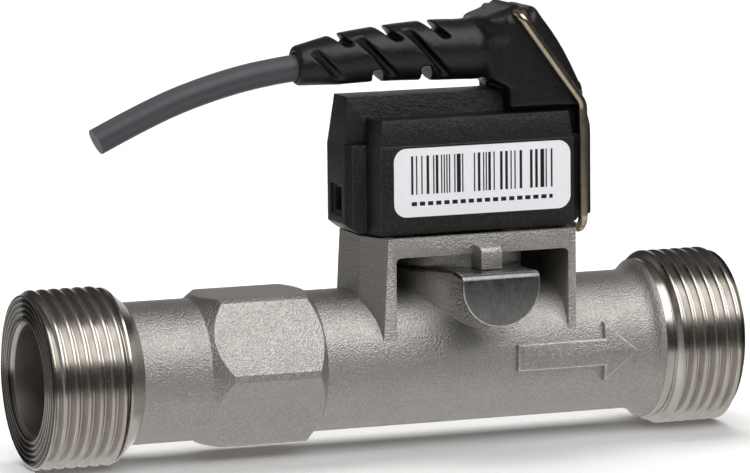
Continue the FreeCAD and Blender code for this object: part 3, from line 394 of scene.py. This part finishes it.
def turned_steel(name, colour, roughness):
    """Turned metal with fine lines round the axis and faint smears."""
    finish = Finish(name, colour, roughness, metallic=1.0)
    lines = finish.noise(0.12 * MM, 2.0, 0.5, (1.0, 0.02, 0.02))
    smears = finish.noise(1.4 * MM, 3.0, 0.6, (1.0, 0.4, 0.4))
    finish.blend(finish.remap(smears, 0.35, 0.65), scaled(colour, 0.9), scaled(colour, 1.06))
    finish.vary_roughness(smears, roughness * 0.75, roughness * 1.5)
    finish.relief((lines, 0.003 * MM))
    return finish.material


def end_steel():
    """Turned steel with painted shade in the grooves of the end faces, bright on their ridges."""
    pipe = settings("flow_pipe")
    colour = colour_of("turned")
    middle = pipe.length / 2
    finish = Finish("end steel", colour, 0.16, metallic=1.0)
    place = finish.split(finish.place)
    off_middle = finish.math("ABSOLUTE", finish.math("SUBTRACT", place["X"], middle))
    depth = finish.math("SUBTRACT", middle, off_middle)
    ridge = finish.remap(depth, 0.07 * MM, 0.03 * MM)
    flank = finish.remap(depth, 0.30 * MM, 0.36 * MM)
    light = finish.math("MAXIMUM", ridge, flank)
    # Painted shade: inside the V grooves the colour drops to 0.22 of the full colour, while the ridges and
    # the bore keep it
    base = finish.blend(light, scaled(colour, 0.22), colour)
    across = finish.math("MULTIPLY", place["Y"], place["Y"])
    upward = finish.math("MULTIPLY", place["Z"], place["Z"])
    radius = finish.math("SQRT", finish.math("ADD", across, upward))
    bore = finish.remap(radius, pipe.sleeve + 0.15 * MM, pipe.sleeve + 0.05 * MM)
    smears = finish.noise(1.4 * MM, 3.0, 0.6, (1.0, 0.4, 0.4))
    finish.blend(finish.remap(smears, 0.35, 0.7, 0.0, 0.22), base, scaled(colour, 0.45))
    polish = finish.remap(smears, 0.3, 0.7, 0.17, 0.29)
    rough = finish.math("ADD", polish, finish.math("MULTIPLY", bore, 0.26))
    finish.links.new(rough, finish.shader.inputs["Roughness"])
    finish.relief((finish.noise(0.12 * MM, 2.0, 0.5, (1.0, 0.02, 0.02)), 0.0025 * MM))
    return finish.material


def sheet_steel():
    """Rolled sheet with fine scratches and painted highlights on the rounded edges."""
    colour = colour_of("sheet")
    finish = Finish("sheet steel", colour, 0.3, metallic=1.0)
    brushed = finish.noise(0.35 * MM, 3.0, 0.6, (1.0, 1.0, 0.25))
    base = finish.blend(finish.remap(brushed, 0.3, 0.7), scaled(colour, 0.82), scaled(colour, 1.18))
    finish.painted_edge_highlights(base, scaled(colour, 3.6), 0.9)
    finish.vary_roughness(finish.noise(1.2 * MM), 0.24, 0.4)
    finish.relief((brushed, 0.004 * MM))
    return finish.material


def drawn_wire():
    """Drawn spring wire, bright with a yellowish passivated tint."""
    colour = colour_of("wire")
    finish = Finish("drawn wire", colour, 0.22, metallic=1.0)
    tint = finish.remap(finish.noise(2.5 * MM, 3.0), 0.35, 0.65)
    finish.blend(tint, scaled(colour, 0.85), scaled(colour, 1.12))
    finish.vary_roughness(finish.noise(3.0 * MM), 0.19, 0.24)
    finish.relief((finish.noise(0.6 * MM, 1.0), 0.0004 * MM))
    return finish.material


def black_plastic(name, colour, roughness, grain, height, glint_level=1.5):
    """Moulded plastic with an eroded grain, lighter flecks as painted glints and painted highlights on the
    rounded edges.
    """
    finish = Finish(name, colour, roughness)
    fine = finish.noise(grain, 2.0, 0.6)
    glint_flecks = finish.remap(fine, 0.45, 0.72)
    finish.vary_roughness(finish.noise(1.5 * MM), roughness * 0.88, roughness * 1.12)
    # Painted glints: the lighter flecks on the grain stand in for the glints of its bumps
    base = finish.blend(glint_flecks, scaled(colour, 0.75), scaled(colour, glint_level))
    finish.painted_edge_highlights(base, scaled(colour, 4.5), 0.8)
    finish.relief((fine, height), (finish.noise(4 * grain, 1.0), height))
    return finish.material


def smooth_rubber(name, colour, roughness):
    """Rubber or soft plastic with a faint skin."""
    finish = Finish(name, colour, roughness)
    finish.vary_roughness(finish.noise(1.0 * MM), roughness * 0.85, roughness * 1.15)
    finish.relief((finish.noise(0.2 * MM, 2.0), 0.006 * MM))
    return finish.material


def laminate():
    """Green board with slightly raised tracks."""
    colour = (0.02, 0.13, 0.05)
    finish = Finish("board laminate", colour, 0.35)
    tracks = finish.noise(1.6 * MM, 0.0, 0.5, (1.0, 2.5, 1.0))
    finish.blend(finish.remap(tracks, 0.49, 0.51), colour, scaled(colour, 1.6))
    finish.relief((tracks, 0.01 * MM))
    return finish.material


# Machined ends

def thread_profile():
    """One pitch of the thread, from root to root: place along the pipe and radius."""
    pipe = settings("flow_pipe")
    depth = pipe.crest - pipe.root
    half = pipe.pitch / 2
    flat = 0.15 * MM
    foot = 0.10 * MM
    foot_rise = 0.02 * MM
    rounding = 0.06 * MM
    side = [(0.0, 0.0), (foot, foot_rise), (half - flat - rounding, depth - rounding), (half - flat, depth)]
    other = [(pipe.pitch - along, rise) for along, rise in side[::-1]]
    return [(along, pipe.root + rise) for along, rise in side + other]


def cut(bm, place, normal, clear=False):
    """Splits a mesh at a plane, and may clear what lies beyond it."""
    bmesh.ops.bisect_plane(bm, geom=bm.verts[:] + bm.edges[:] + bm.faces[:], plane_co=place, plane_no=normal,
                           clear_outer=clear, dist=TOUCH)


def threaded_shell(start, end, first_crest, turn_steps=112):
    """A screw surface between two planes, with a crest at first_crest on the front."""
    pipe = settings("flow_pipe")
    spare_turns = 3
    turns = math.ceil((end - start) / pipe.pitch) + spare_turns
    bm = bmesh.new()
    origin = first_crest - pipe.pitch / 2 - 2 * pipe.pitch
    verts = [bm.verts.new((origin + along, -radius, 0.0)) for along, radius in thread_profile()]
    edges = [bm.edges.new(pair) for pair in zip(verts, verts[1:])]
    bmesh.ops.spin(bm, geom=verts + edges, cent=(0, 0, 0), axis=(1, 0, 0), angle=2 * math.pi * turns,
                   dvec=(pipe.pitch / turn_steps, 0, 0), steps=turns * turn_steps, use_merge=False)
    bmesh.ops.remove_doubles(bm, verts=bm.verts, dist=MERGE)
    cut(bm, (start, 0, 0), (-1, 0, 0), clear=True)
    cut(bm, (end, 0, 0), (1, 0, 0), clear=True)
    return bm


def limit_radius(bm, face, direction, radius):
    """Cuts the crests back to a 45 degree cone that starts on an end face."""
    for vert in bm.verts:
        inside = (vert.co.x - face) * direction >= -TOUCH
        limit = radius + abs(vert.co.x - face) if inside else radius
        if radius_of(vert.co) > limit:
            set_radius(vert, limit)


def rim_edges(bm, place):
    return [edge for edge in bm.edges if edge.is_boundary
            and all(abs(vert.co.x - place) < MERGE for vert in edge.verts)]


def thread_end(bm, place):
    """The open rim of the threads at their inner end."""
    core = settings("flow_pipe").core - 0.1 * MM
    return [edge for edge in rim_edges(bm, place) if all(radius_of(vert.co) > core for vert in edge.verts)]


def ring_step(bm, edges, place, radius):
    """Extrudes a rim to a new circle and returns the new rim."""
    made = bmesh.ops.extrude_edge_only(bm, edges=edges)["geom"]
    for item in made:
        if isinstance(item, bmesh.types.BMVert):
            set_radius(item, radius)
            item.co.x = place
    return [item for item in made if isinstance(item, bmesh.types.BMEdge)
            and all(abs(vert.co.x - place) < TOUCH and abs(radius_of(vert.co) - radius) < TOUCH
                    for vert in item.verts)]


def face_steps(face, inward):
    """Radii and places across an end face with its turned V grooves, then down into the bore."""
    pipe = settings("flow_pipe")
    grooves = 4
    ridge = 0.12 * MM
    groove_depth = 0.30 * MM
    relief_length = 0.2 * MM
    relief_depth = 0.4 * MM
    pitch = (pipe.rim - pipe.mouth - ridge) / (grooves + 0.5)
    steps = []
    for i in range(grooves):
        outer = pipe.rim - ridge - (i + 0.25) * pitch
        steps += [(0.0, outer), (groove_depth, outer - (pitch - ridge) / 2), (0.0, outer - pitch + ridge)]
    steps += [(0.0, pipe.mouth), (pipe.mouth_depth, pipe.sleeve), (pipe.sleeve_end, pipe.sleeve),
              (pipe.sleeve_end + relief_length, pipe.sleeve + relief_depth)]
    return [(face + inward * depth, radius) for depth, radius in steps]


def shoulder_steps(shoulder, inward):
    """Radii and places of the turned shoulder behind the thread, then down inside the casting."""
    pipe = settings("flow_pipe")
    lip = 0.05 * MM
    inside = pipe.tube - 0.4 * MM
    if inward > 0:
        land = 0.4 * MM
        steps = [(lip, pipe.collar_crest), (land, pipe.collar_crest), (pipe.cone_length, pipe.tube + lip),
                 (pipe.cone_length + lip, inside)]
    else:
        groove = 0.15 * MM
        groove_end = 0.3 * MM
        collar = pipe.root + 0.03 * MM
        steps = [(groove, pipe.root - groove), (groove_end, collar), (pipe.collar_length, collar),
                 (pipe.collar_length + lip, pipe.root - 1.2 * MM)]
    steps.append((0.0, inside))
    return [(shoulder + inward * along, radius) for along, radius in steps]


def machined_end(face, inward, first_crest, shoulder):
    """Threads, grooved end face and the turned start of the bore, in one closed ring."""
    pipe = settings("flow_pipe")
    wall = 0.6 * MM
    setback = 0.5 * MM
    bm = threaded_shell(min(face, shoulder), max(face, shoulder), first_crest)
    limit_radius(bm, face, inward, pipe.rim)
    rim = rim_edges(bm, face)
    for place, radius in face_steps(face, inward):
        rim = ring_step(bm, rim, place, radius)
    back = thread_end(bm, shoulder)
    for place, radius in shoulder_steps(shoulder, inward):
        back = ring_step(bm, back, place, radius)
    rim = ring_step(bm, rim, shoulder - inward * setback, pipe.sleeve + wall)
    bmesh.ops.bridge_loops(bm, edges=rim + back)
    bmesh.ops.recalc_face_normals(bm, faces=bm.faces)
    return bm


class FLOW_OT_machined_ends(bpy.types.Operator):
    """Turns the helical threads and the grooved faces at both ends of the pipe"""

    bl_idname = "flow.machined_ends"
    bl_label = "Machined ends"

    def execute(self, context):
        pipe = settings("flow_pipe")
        steel = end_steel()
        inlet_crest = 1.94 * MM
        outlet_crest = 99.73 * MM
        inlet = machined_end(0.0, 1, inlet_crest, pipe.inlet_end)
        new_piece("inlet_thread", inlet, "sensor", steel, 24)
        outlet = machined_end(pipe.length, -1, outlet_crest, pipe.outlet_start)
        new_piece("outlet_thread", outlet, "sensor", steel, 24)
        return {"FINISHED"}


# Casting and clip

def round_tube(mesh, radius):
    """Gives the faces on the tube the normals of a true cylinder."""
    left_alone = (0.0, 0.0, 0.0)
    normals = [left_alone] * len(mesh.loops)
    tolerance = 0.03 * MM
    level = 0.01
    for face in mesh.polygons:
        corners = [mesh.vertices[i].co for i in face.vertices]
        if all(abs(radius_of(co) - radius) < tolerance for co in corners) and abs(face.normal.x) < level:
            for loop, co in zip(face.loop_indices, corners):
                normals[loop] = (0.0, co.y / radius, co.z / radius)
    mesh.normals_split_custom_set(normals)


def edge_middle(edge):
    return (edge.verts[0].co + edge.verts[1].co) / 2


def on_arrow(edge):
    """True for the edges of the solid's own arrow on the pipe's front."""
    middle = edge_middle(edge)
    start, end = 71 * MM, 95 * MM
    front = -9 * MM
    half = 5.5 * MM
    return start < middle.x < end and middle.y < front and abs(middle.z) < half


def cast_edge(edge):
    """True between the turned shoulders, away from what the machined ends cover."""
    pipe = settings("flow_pipe")
    start = pipe.inlet_end + pipe.cone_length + 0.2 * MM
    end = pipe.outlet_start - 2.0 * MM
    return start < edge_middle(edge).x < end


def on_outlet_cone(edge):
    """True where the tube meets the cone before the outlet."""
    pipe = settings("flow_pipe")
    cone = 1.9 * MM
    near = 0.05 * MM
    seam = pipe.outlet_start - pipe.collar_length - cone
    return all(abs(vert.co.x - seam) < near for vert in edge.verts)


def on_nose(edge):
    """True for the corners of the nose that stands out of the beam."""
    pipe = settings("flow_pipe")
    low, high = pipe.nose_low, pipe.nose_high
    return all(low[axis] < vert.co[axis] < high[axis] for vert in edge.verts for axis in range(3))


def sink_ends(bm):
    """Draws the casting's ends in, so that the machined ends cover them."""
    pipe = settings("flow_pipe")
    lip = 0.02 * MM
    mouth_band = 0.7 * MM
    mouth_radius = pipe.mouth + 0.1 * MM
    mouth_set_back = 0.45 * MM
    face_set_back = 0.4 * MM
    for vert in bm.verts:
        co = vert.co
        depth = min(co.x, pipe.length - co.x)
        if depth < mouth_band and radius_of(co) < mouth_radius:
            co.x += math.copysign(mouth_set_back, pipe.length / 2 - co.x)
        outside = co.x < pipe.inlet_end + lip or co.x > pipe.outlet_start - lip
        if outside and radius_of(co) > pipe.core:
            set_radius(vert, pipe.core)
            if depth < lip:
                co.x += math.copysign(face_set_back, pipe.length / 2 - co.x)


class FLOW_OT_cast_body(bpy.types.Operator):
    """Softens the casting and sinks its ends under the threads"""

    bl_idname = "flow.cast_body"
    bl_label = "Cast body"

    def execute(self, context):
        pipe = settings("flow_pipe")
        cone_round = 1.1 * MM
        nose_round = 0.75 * MM
        bm = node_copy("pipe_body")
        sink_ends(bm)
        # The cone's rounding gets no painted edge highlight
        soften(bm, cone_round, 20, 4, on_outlet_cone, marks_highlight=False)
        soften(bm, nose_round, 40, 4, on_nose)
        soften(bm, pipe.edge, 20, 3, lambda edge: cast_edge(edge) and not on_arrow(edge))
        piece = new_piece("cast_body", bm, "sensor", shared_cast_steel(), 40)
        round_tube(piece.data, pipe.tube)
        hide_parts("pipe_body")
        return {"FINISHED"}


def arrow_plate(arrow, thickness):
    """A flat arrow that lies in the plane y = 0 and is thickened towards the front."""
    neck = arrow.start + arrow.shaft
    upper = [(arrow.start, arrow.shaft_half), (neck, arrow.shaft_half), (neck, arrow.head_half),
             (neck + arrow.head, 0.0)]
    outline = upper + [(x, -z) for x, z in upper[-2::-1]]
    bm = bmesh.new()
    face = bm.faces.new([bm.verts.new((x, 0.0, z)) for x, z in outline])
    for item in bmesh.ops.extrude_face_region(bm, geom=[face])["geom"]:
        if isinstance(item, bmesh.types.BMVert):
            item.co.y = -thickness
    bmesh.ops.recalc_face_normals(bm, faces=bm.faces)
    return bm


class FLOW_OT_arrow(bpy.types.Operator):
    """Raises the arrow that shows the direction of flow"""

    bl_idname = "flow.arrow"
    bl_label = "Flow arrow"

    def execute(self, context):
        arrow = settings("flow_arrow")
        tube = settings("flow_pipe").tube
        thickness = 1.0 * MM
        strips = 9
        bm = arrow_plate(arrow, thickness)
        soften(bm, arrow.edge, 40, 2, lambda edge: all(vert.co.y < 0 for vert in edge.verts))
        for i in range(1, strips):
            level = arrow.head_half * (2 * i / strips - 1)
            cut(bm, (0, 0, level), (0, 0, 1))
        for vert in bm.verts:
            drop = tube - math.sqrt(tube ** 2 - vert.co.z ** 2)
            vert.co.y += drop * arrow.wrap - (tube + arrow.rise - thickness)
        new_piece("flow_arrow", bm, "sensor", shared_cast_steel(), 40)
        return {"FINISHED"}


class FLOW_OT_clip(bpy.types.Operator):
    """Finishes the sheet steel clip"""

    bl_idname = "flow.clip"
    bl_label = "Retaining clip"

    def execute(self, context):
        edge_round = 0.2 * MM
        bm = node_copy("retaining_clip")
        soften(bm, edge_round, 30, 3)
        piece = new_piece("clip_sheet", bm, "sensor", sheet_steel(), 40)
        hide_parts("retaining_clip")
        return {"FINISHED"}


# Head

class FLOW_OT_housing(bpy.types.Operator):
    """Rounds the edges of the moulded housing and cover"""

    bl_idname = "flow.housing"
    bl_label = "Housing and cover"

    def execute(self, context):
        edge_round = 0.3 * MM
        plastic = black_plastic("housing plastic", colour_of("housing"), 0.40, 0.25 * MM, 0.085 * MM, 4.0)
        for node, slot, name in (("housing", "housing_plastic", "housing_shell"),
                                 ("housing_cover", "cover_plastic", "cover_shell")):
            bm = node_copy(node)
            soften(bm, edge_round, 20, 3)
            piece = new_piece(name, bm, "sensor", plastic, 35)
            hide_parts(node)
        return {"FINISHED"}


def label_print():
    """White film with a made-up pattern of bars over a row of dashes."""
    film, ink = colour_of("label"), colour_of("ink")
    finish = Finish("label print", film, 0.32)
    low, high = (Vector(corner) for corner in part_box("label"))
    place = finish.split(finish.place)
    along, up = place["X"], place["Z"]

    def over(value, level):
        return finish.math("GREATER_THAN", value, level)

    def both(first, second):
        return finish.math("MULTIPLY", first, second)

    def between(value, start, end):
        return both(over(value, start), finish.math("LESS_THAN", value, end))

    def rhythm(value, period):
        """Runs from 0 to 1 in every period."""
        return finish.math("FRACT", finish.math("DIVIDE", value, period))

    bar = 0.21 * MM
    bars_in_group = 4.0
    dash_pitch = 1.3 * MM
    row_height = 0.6 * MM
    row_low = low.z + 1.65 * MM
    column = finish.math("FLOOR", finish.math("DIVIDE", along, bar))
    chance = finish.add("ShaderNodeTexWhiteNoise", noise_dimensions="1D")
    finish.links.new(column, chance.inputs["W"])
    bars = both(over(chance.outputs["Value"], 0.4), over(rhythm(column, bars_in_group), 0.1))
    width = between(along, low.x + 2.7 * MM, high.x - 2.9 * MM)
    height = between(up, low.z + 3.35 * MM, high.z - 1.15 * MM)
    row = between(up, row_low, row_low + row_height)
    dashes = both(over(rhythm(along, dash_pitch), 0.35), both(width, row))
    print_mask = finish.math("MAXIMUM", both(bars, both(width, height)), dashes)
    finish.blend(print_mask, film, ink)
    finish.relief((finish.noise(0.6 * MM, 2.0), 0.004 * MM))
    return finish.material


class FLOW_OT_label(bpy.types.Operator):
    """Prints the label"""

    bl_idname = "flow.label"
    bl_label = "Label"

    def execute(self, context):
        bm = node_copy("label")
        piece = new_piece("label_film", bm, "sensor", label_print(), 40)
        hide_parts("label")
        return {"FINISHED"}


def eased_step(value, low, high):
    """0 below low, 1 above high and smooth between."""
    share = min(1.0, max(0.0, (value - low) / (high - low)))
    return share * share * (3 - 2 * share)


def bell(value, width):
    return math.exp(-(value / width) ** 2)


def bend_boot(co, plug):
    """Lifts the boot's middle."""
    if co.x < plug.root:
        along = max(0.0, (co.x - plug.tip) / (plug.root - plug.tip))
        co.z += plug.bend * math.sin(math.pi * along)


def bulge_back(co, plug):
    """Rounds the sloping back between the brow and the crown."""
    brow, crown = plug.brow, plug.crown
    fade = 3 * MM
    share = (co.z - brow.z) / (crown.z - brow.z)
    if 0.0 < share < 1.0:
        slope = Vector((crown.z - brow.z, 0.0, brow.x - crown.x)).normalized()
        back = brow.x + (crown.x - brow.x) * share
        co += slope * (plug.bulge * math.sin(math.pi * share) * eased_step(co.x, back - fade, back))


def thin_skirt(co, plug):
    """Runs the brow into a skirt that is thin at its top and narrow at its sides."""
    brow = plug.brow
    thin = 0.1 * MM
    taper = 2.4 * MM
    thickening = (-brow.z - 1 * MM, -brow.z + 9 * MM)
    narrowing = (brow.z - 7 * MM, brow.z + 0.5 * MM)
    limit = brow.x + thin + (plug.skirt - thin) * eased_step(-co.z, *thickening)
    if co.z < brow.z + 0.6 * MM:
        co.x = min(co.x, limit)
    if co.x > brow.x - thin:
        side = plug.skirt_side - taper * eased_step(co.z, *narrowing)
        co.y = max(-side, min(side, co.y))


def lean_crown(co, plug):
    """Sets the front slope of the crown back."""
    rise = (67.5 * MM, 70.0 * MM)
    fall = (73.5 * MM, 77.0 * MM)
    height = (45.5 * MM, 48.5 * MM)
    front = eased_step(co.x, *rise) * (1 - eased_step(co.x, *fall))
    co.x += plug.lean * front * eased_step(co.z, *height)


def notch_crown(co, plug):
    """Sinks the notch into the crown and raises the hump behind it."""
    height = plug.crown.z
    hump_offset = 1.3 * MM
    hump_share = 0.7
    dip_width = 0.5 * MM
    hump_width = 0.7 * MM
    top = eased_step(co.z, height - 4.5 * MM, height - 0.5 * MM)
    dip = bell(co.x - plug.notch, dip_width)
    hump = bell(co.x - plug.notch - hump_offset, hump_width)
    co.z += top * plug.notch_depth * (hump_share * hump - dip)


def reshape_plug(bm):
    """Gives each point of the plug's skin its place in the soft forms."""
    plug = settings("flow_plug")
    for vert in bm.verts:
        for form in (bend_boot, bulge_back, thin_skirt, lean_crown, notch_crown):
            form(vert.co, plug)


def ease_neck(bm, rounds):
    """Melts the boot's root into the head."""
    start, end = 67.0 * MM, 72.6 * MM
    low = 41.5 * MM
    ease(bm, [vert for vert in bm.verts if start < vert.co.x < end and vert.co.z > low], rounds)


class FLOW_OT_plug(bpy.types.Operator):
    """Gives the overmoulded plug and boot one soft skin"""

    bl_idname = "flow.plug"
    bl_label = "Plug and boot"

    def execute(self, context):
        skin_rounds = 4
        neck_rounds = 40
        bm = remeshed(node_copy("plug_body"), settings("flow_plug").voxel, skin_rounds)
        ease_neck(bm, neck_rounds)
        reshape_plug(bm)
        plastic = black_plastic("overmould plastic", colour_of("plug"), 0.38, 0.24 * MM, 0.035 * MM, 2.2)
        piece = new_piece("plug_skin", bm, "sensor", plastic, 60)
        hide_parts("plug_body")
        return {"FINISHED"}


class FLOW_OT_bail(bpy.types.Operator):
    """Finishes the bail wire"""

    bl_idname = "flow.bail"
    bl_label = "Bail wire"

    def execute(self, context):
        bm = node_copy("bail_wire", whole_faces=False)
        piece = new_piece("bail", bm, "bail", drawn_wire(), 50)
        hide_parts("bail_wire")
        return {"FINISHED"}


# The cable's route in millimetres, from inside the boot to the cut end
CABLE_ROUTE = [
    (47.395, 0.0, 44.468),
    (38.200, 0.0, 43.650),
    (29.000, 0.0, 41.650),
    (20.000, 0.0, 38.650),
    (11.400, 0.0, 34.550),
]


class FLOW_OT_cable(bpy.types.Operator):
    """Lays the cable on its smooth route"""

    bl_idname = "flow.cable"
    bl_label = "Cable"

    def execute(self, context):
        sizes = settings("flow_cable")
        curve = bpy.data.curves.new("cable_jacket", "CURVE")
        curve.dimensions = "3D"
        curve.bevel_depth = sizes.cable_radius
        curve.bevel_resolution = 10
        curve.use_fill_caps = True
        curve.resolution_u = 24
        spline = curve.splines.new("NURBS")
        spline.points.add(len(CABLE_ROUTE) - 1)
        for control, place in zip(spline.points, CABLE_ROUTE):
            control.co = (*(part * MM for part in place), 1.0)
        spline.order_u = 3
        spline.use_endpoint_u = True
        curve.materials.append(smooth_rubber("cable jacket", colour_of("cable"), 0.42))
        piece = add_object("cable_jacket", curve)
        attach(piece, "sensor")
        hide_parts("cable")
        return {"FINISHED"}


class FLOW_OT_inner_parts(bpy.types.Operator):
    """Gives the parts inside their own finishes"""

    bl_idname = "flow.inner_parts"
    bl_label = "Inner parts"

    def execute(self, context):
        stem = black_plastic("stem plastic", (0.03, 0.03, 0.032), 0.45, 0.3 * MM, 0.01 * MM)
        rubber = smooth_rubber("seal rubber", (0.015, 0.015, 0.015), 0.5)
        brass = turned_steel("contact brass", (0.78, 0.58, 0.26), 0.25)
        moulded = black_plastic("component plastic", (0.02, 0.02, 0.02), 0.4, 0.2 * MM, 0.01 * MM)
        finishes = {
            "bluff_body": turned_steel("turned wedge", (0.5, 0.49, 0.47), 0.3),
            "sensor_stem": stem,
            "sensing_tip": stem,
            "sensor_chip": smooth_rubber("chip ceramic", (0.75, 0.74, 0.70), 0.5),
            "sensor_leads": turned_steel("tinned wire", (0.7, 0.68, 0.64), 0.3),
            "stem_o_ring": rubber,
            "circuit_board": laminate(),
            "board_components": moulded,
            "pin_header": moulded,
            "connector_pins": brass,
            "plug_insert": moulded,
            "plug_contacts": brass,
            "plug_seal": rubber,
            "conductors": smooth_rubber("wire insulation", (0.35, 0.03, 0.02), 0.35),
        }
        for node, material in finishes.items():
            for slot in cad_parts[node].material_slots:
                slot.material = material
        return {"FINISHED"}


# Stage

def heading(azimuth, elevation):
    """The direction of an azimuth, counted from the front, and an elevation, in radians."""
    return Vector((math.sin(azimuth) * math.cos(elevation), -math.cos(azimuth) * math.cos(elevation),
                   math.sin(elevation)))


def camera_turn(stage):
    """The camera's backward direction and its axes, from its angles."""
    azimuth, elevation, roll = (math.radians(angle) for angle in (stage.azimuth, stage.elevation, stage.roll))
    back = heading(azimuth, elevation)
    right = Vector((math.cos(azimuth), math.sin(azimuth), 0.0))
    above = back.cross(right)
    turned_right = right * math.cos(roll) + above * math.sin(roll)
    turned_above = above * math.cos(roll) - right * math.sin(roll)
    return back, Matrix((turned_right, turned_above, back)).transposed()


def set_camera(context):
    stage = settings("flow_stage")
    back, turn = camera_turn(stage)
    camera = bpy.data.cameras.new("camera")
    camera.lens = stage.lens
    camera.sensor_width = 36.0
    camera.clip_start = 0.05
    camera.clip_end = 50.0
    holder = add_object("camera", camera)
    holder.matrix_world = Matrix.Translation(Vector(stage.target) + back * stage.distance) @ turn.to_4x4()
    context.scene.camera = holder


def softbox(name, target, azimuth, elevation, distance, front, radiance, mirrored=True):
    """A rectangular light that faces its target, given the radiance of its front."""
    towards = heading(math.radians(azimuth), math.radians(elevation))
    width, height = front
    light = bpy.data.lights.new(name, "AREA")
    light.shape = "RECTANGLE"
    light.size = width
    light.size_y = height
    light.energy = radiance * math.pi * width * height
    lamp = add_object(name, light)
    lamp.location = target + towards * distance
    lamp.rotation_euler = (-towards).to_track_quat("-Z", "Y").to_euler()
    lamp.visible_glossy = mirrored


def set_lights():
    """One large light from the front, one behind for the rims and one for the floor's far end."""
    middle = Vector((55 * MM, 0.0, 10 * MM))
    behind_left = middle + Vector((-0.35, 0.75, 0.0))
    softbox("front", middle, 22, 52, 0.75, front=(0.95, 0.72), radiance=2.15)
    softbox("rear", middle, 185, 60, 0.95, front=(1.2, 0.6), radiance=3.4, mirrored=False)
    softbox("backdrop", behind_left, 0, 88, 1.1, front=(1.8, 1.2), radiance=1.3, mirrored=False)


def room_tones(tree, direction):
    """A pale ground for reflections, dark at the horizon and a little lighter overhead."""
    height = tree.remap(tree.split(direction)["Z"], -1.0, 1.0)
    ramp = tree.add("ShaderNodeValToRGB")
    ground, overhead = ramp.color_ramp.elements
    ground.position = 0.37
    ground.color = (0.62, 0.61, 0.60, 1.0)
    overhead.position = 1.0
    overhead.color = (0.13, 0.12, 0.11, 1.0)
    for position, level in ((0.41, 0.035), (0.75, 0.05)):
        element = ramp.color_ramp.elements.new(position)
        element.color = (level, level * 0.95, level * 0.9, 1.0)
    tree.links.new(height, ramp.inputs["Fac"])
    return ramp.outputs["Color"]


def room_glow(tree, direction, centre, edge, core, level):
    """A soft round glow about a direction, from its edge to its core by the cosine of the angle."""
    facing = tree.add("ShaderNodeVectorMath", operation="DOT_PRODUCT")
    facing.inputs[1].default_value = centre
    tree.links.new(direction, facing.inputs[0])
    return tree.remap(facing.outputs["Value"], edge, core, 0.0, level, "SMOOTHSTEP")


def studio_world():
    """A dark room with a pale ground and two soft glows, one at the left and one behind."""
    world = bpy.data.worlds.new("studio")
    world.use_nodes = True
    tree = NodeTree(world.node_tree)
    direction = tree.add("ShaderNodeTexCoord").outputs["Generated"]
    total = room_tones(tree, direction)
    left = room_glow(tree, direction, (-0.92, 0.38, -0.05), 0.70, 0.97, 0.30)
    behind = room_glow(tree, direction, (0.36, 0.93, 0.02), 0.86, 0.97, 0.62)
    for glow in (left, behind):
        both = tree.add("ShaderNodeVectorMath", operation="ADD")
        tree.links.new(total, both.inputs[0])
        tree.links.new(glow, both.inputs[1])
        total = both.outputs["Vector"]
    tree.links.new(total, tree.nodes["Background"].inputs["Color"])
    return world


def lay_floor():
    bm = bmesh.new()
    bmesh.ops.create_grid(bm, x_segments=1, y_segments=1, size=6.0)
    bmesh.ops.translate(bm, verts=bm.verts, vec=(0, 0, CAD_BOX[0][2]))
    mesh = bpy.data.meshes.new("floor")
    bm.to_mesh(mesh)
    bm.free()
    mesh.materials.append(Finish("floor", (0.92, 0.92, 0.92), 0.9).material)
    floor = add_object("floor", mesh)
    floor.visible_glossy = False


class FLOW_OT_stage(bpy.types.Operator):
    """Sets the floor, the lights and the camera"""

    bl_idname = "flow.stage"
    bl_label = "Stage"

    def execute(self, context):
        lay_floor()
        context.scene.world = studio_world()
        context.scene.view_settings.view_transform = "Standard"
        set_lights()
        set_camera(context)
        return {"FINISHED"}


OPERATORS = (
    FLOW_OT_stage,
    FLOW_OT_cable,
    FLOW_OT_cast_body,
    FLOW_OT_arrow,
    FLOW_OT_machined_ends,
    FLOW_OT_clip,
    FLOW_OT_housing,
    FLOW_OT_label,
    FLOW_OT_plug,
    FLOW_OT_bail,
    FLOW_OT_inner_parts,
)
GROUPS = {
    "flow_pipe": PipeSettings,
    "flow_arrow": ArrowSettings,
    "flow_plug": PlugSettings,
    "flow_colours": ColourSettings,
    "flow_cable": CableSettings,
    "flow_stage": StageSettings,
}


class FLOW_PT_pieces(bpy.types.Panel):
    """Lists the pieces that can be built"""

    bl_label = "Flow sensor"
    bl_idname = "FLOW_PT_pieces"
    bl_space_type = "VIEW_3D"
    bl_region_type = "UI"
    bl_category = "Flow sensor"

    def draw(self, context):
        for operator in OPERATORS:
            self.layout.operator(operator.bl_idname)


def register():
    for group in GROUPS.values():
        bpy.utils.register_class(group)
    for name, group in GROUPS.items():
        setattr(bpy.types.Scene, name, PointerProperty(type=group))
    for operator in OPERATORS:
        bpy.utils.register_class(operator)
    bpy.utils.register_class(FLOW_PT_pieces)


def unregister():
    bpy.utils.unregister_class(FLOW_PT_pieces)
    for operator in reversed(OPERATORS):
        bpy.utils.unregister_class(operator)
    for name, group in GROUPS.items():
        delattr(bpy.types.Scene, name)
        bpy.utils.unregister_class(group)


def main():
    register()
    for operator in OPERATORS:
        group, _, name = operator.bl_idname.partition(".")
        getattr(getattr(bpy.ops, group), name)()


if __name__ == "__main__":
    main()
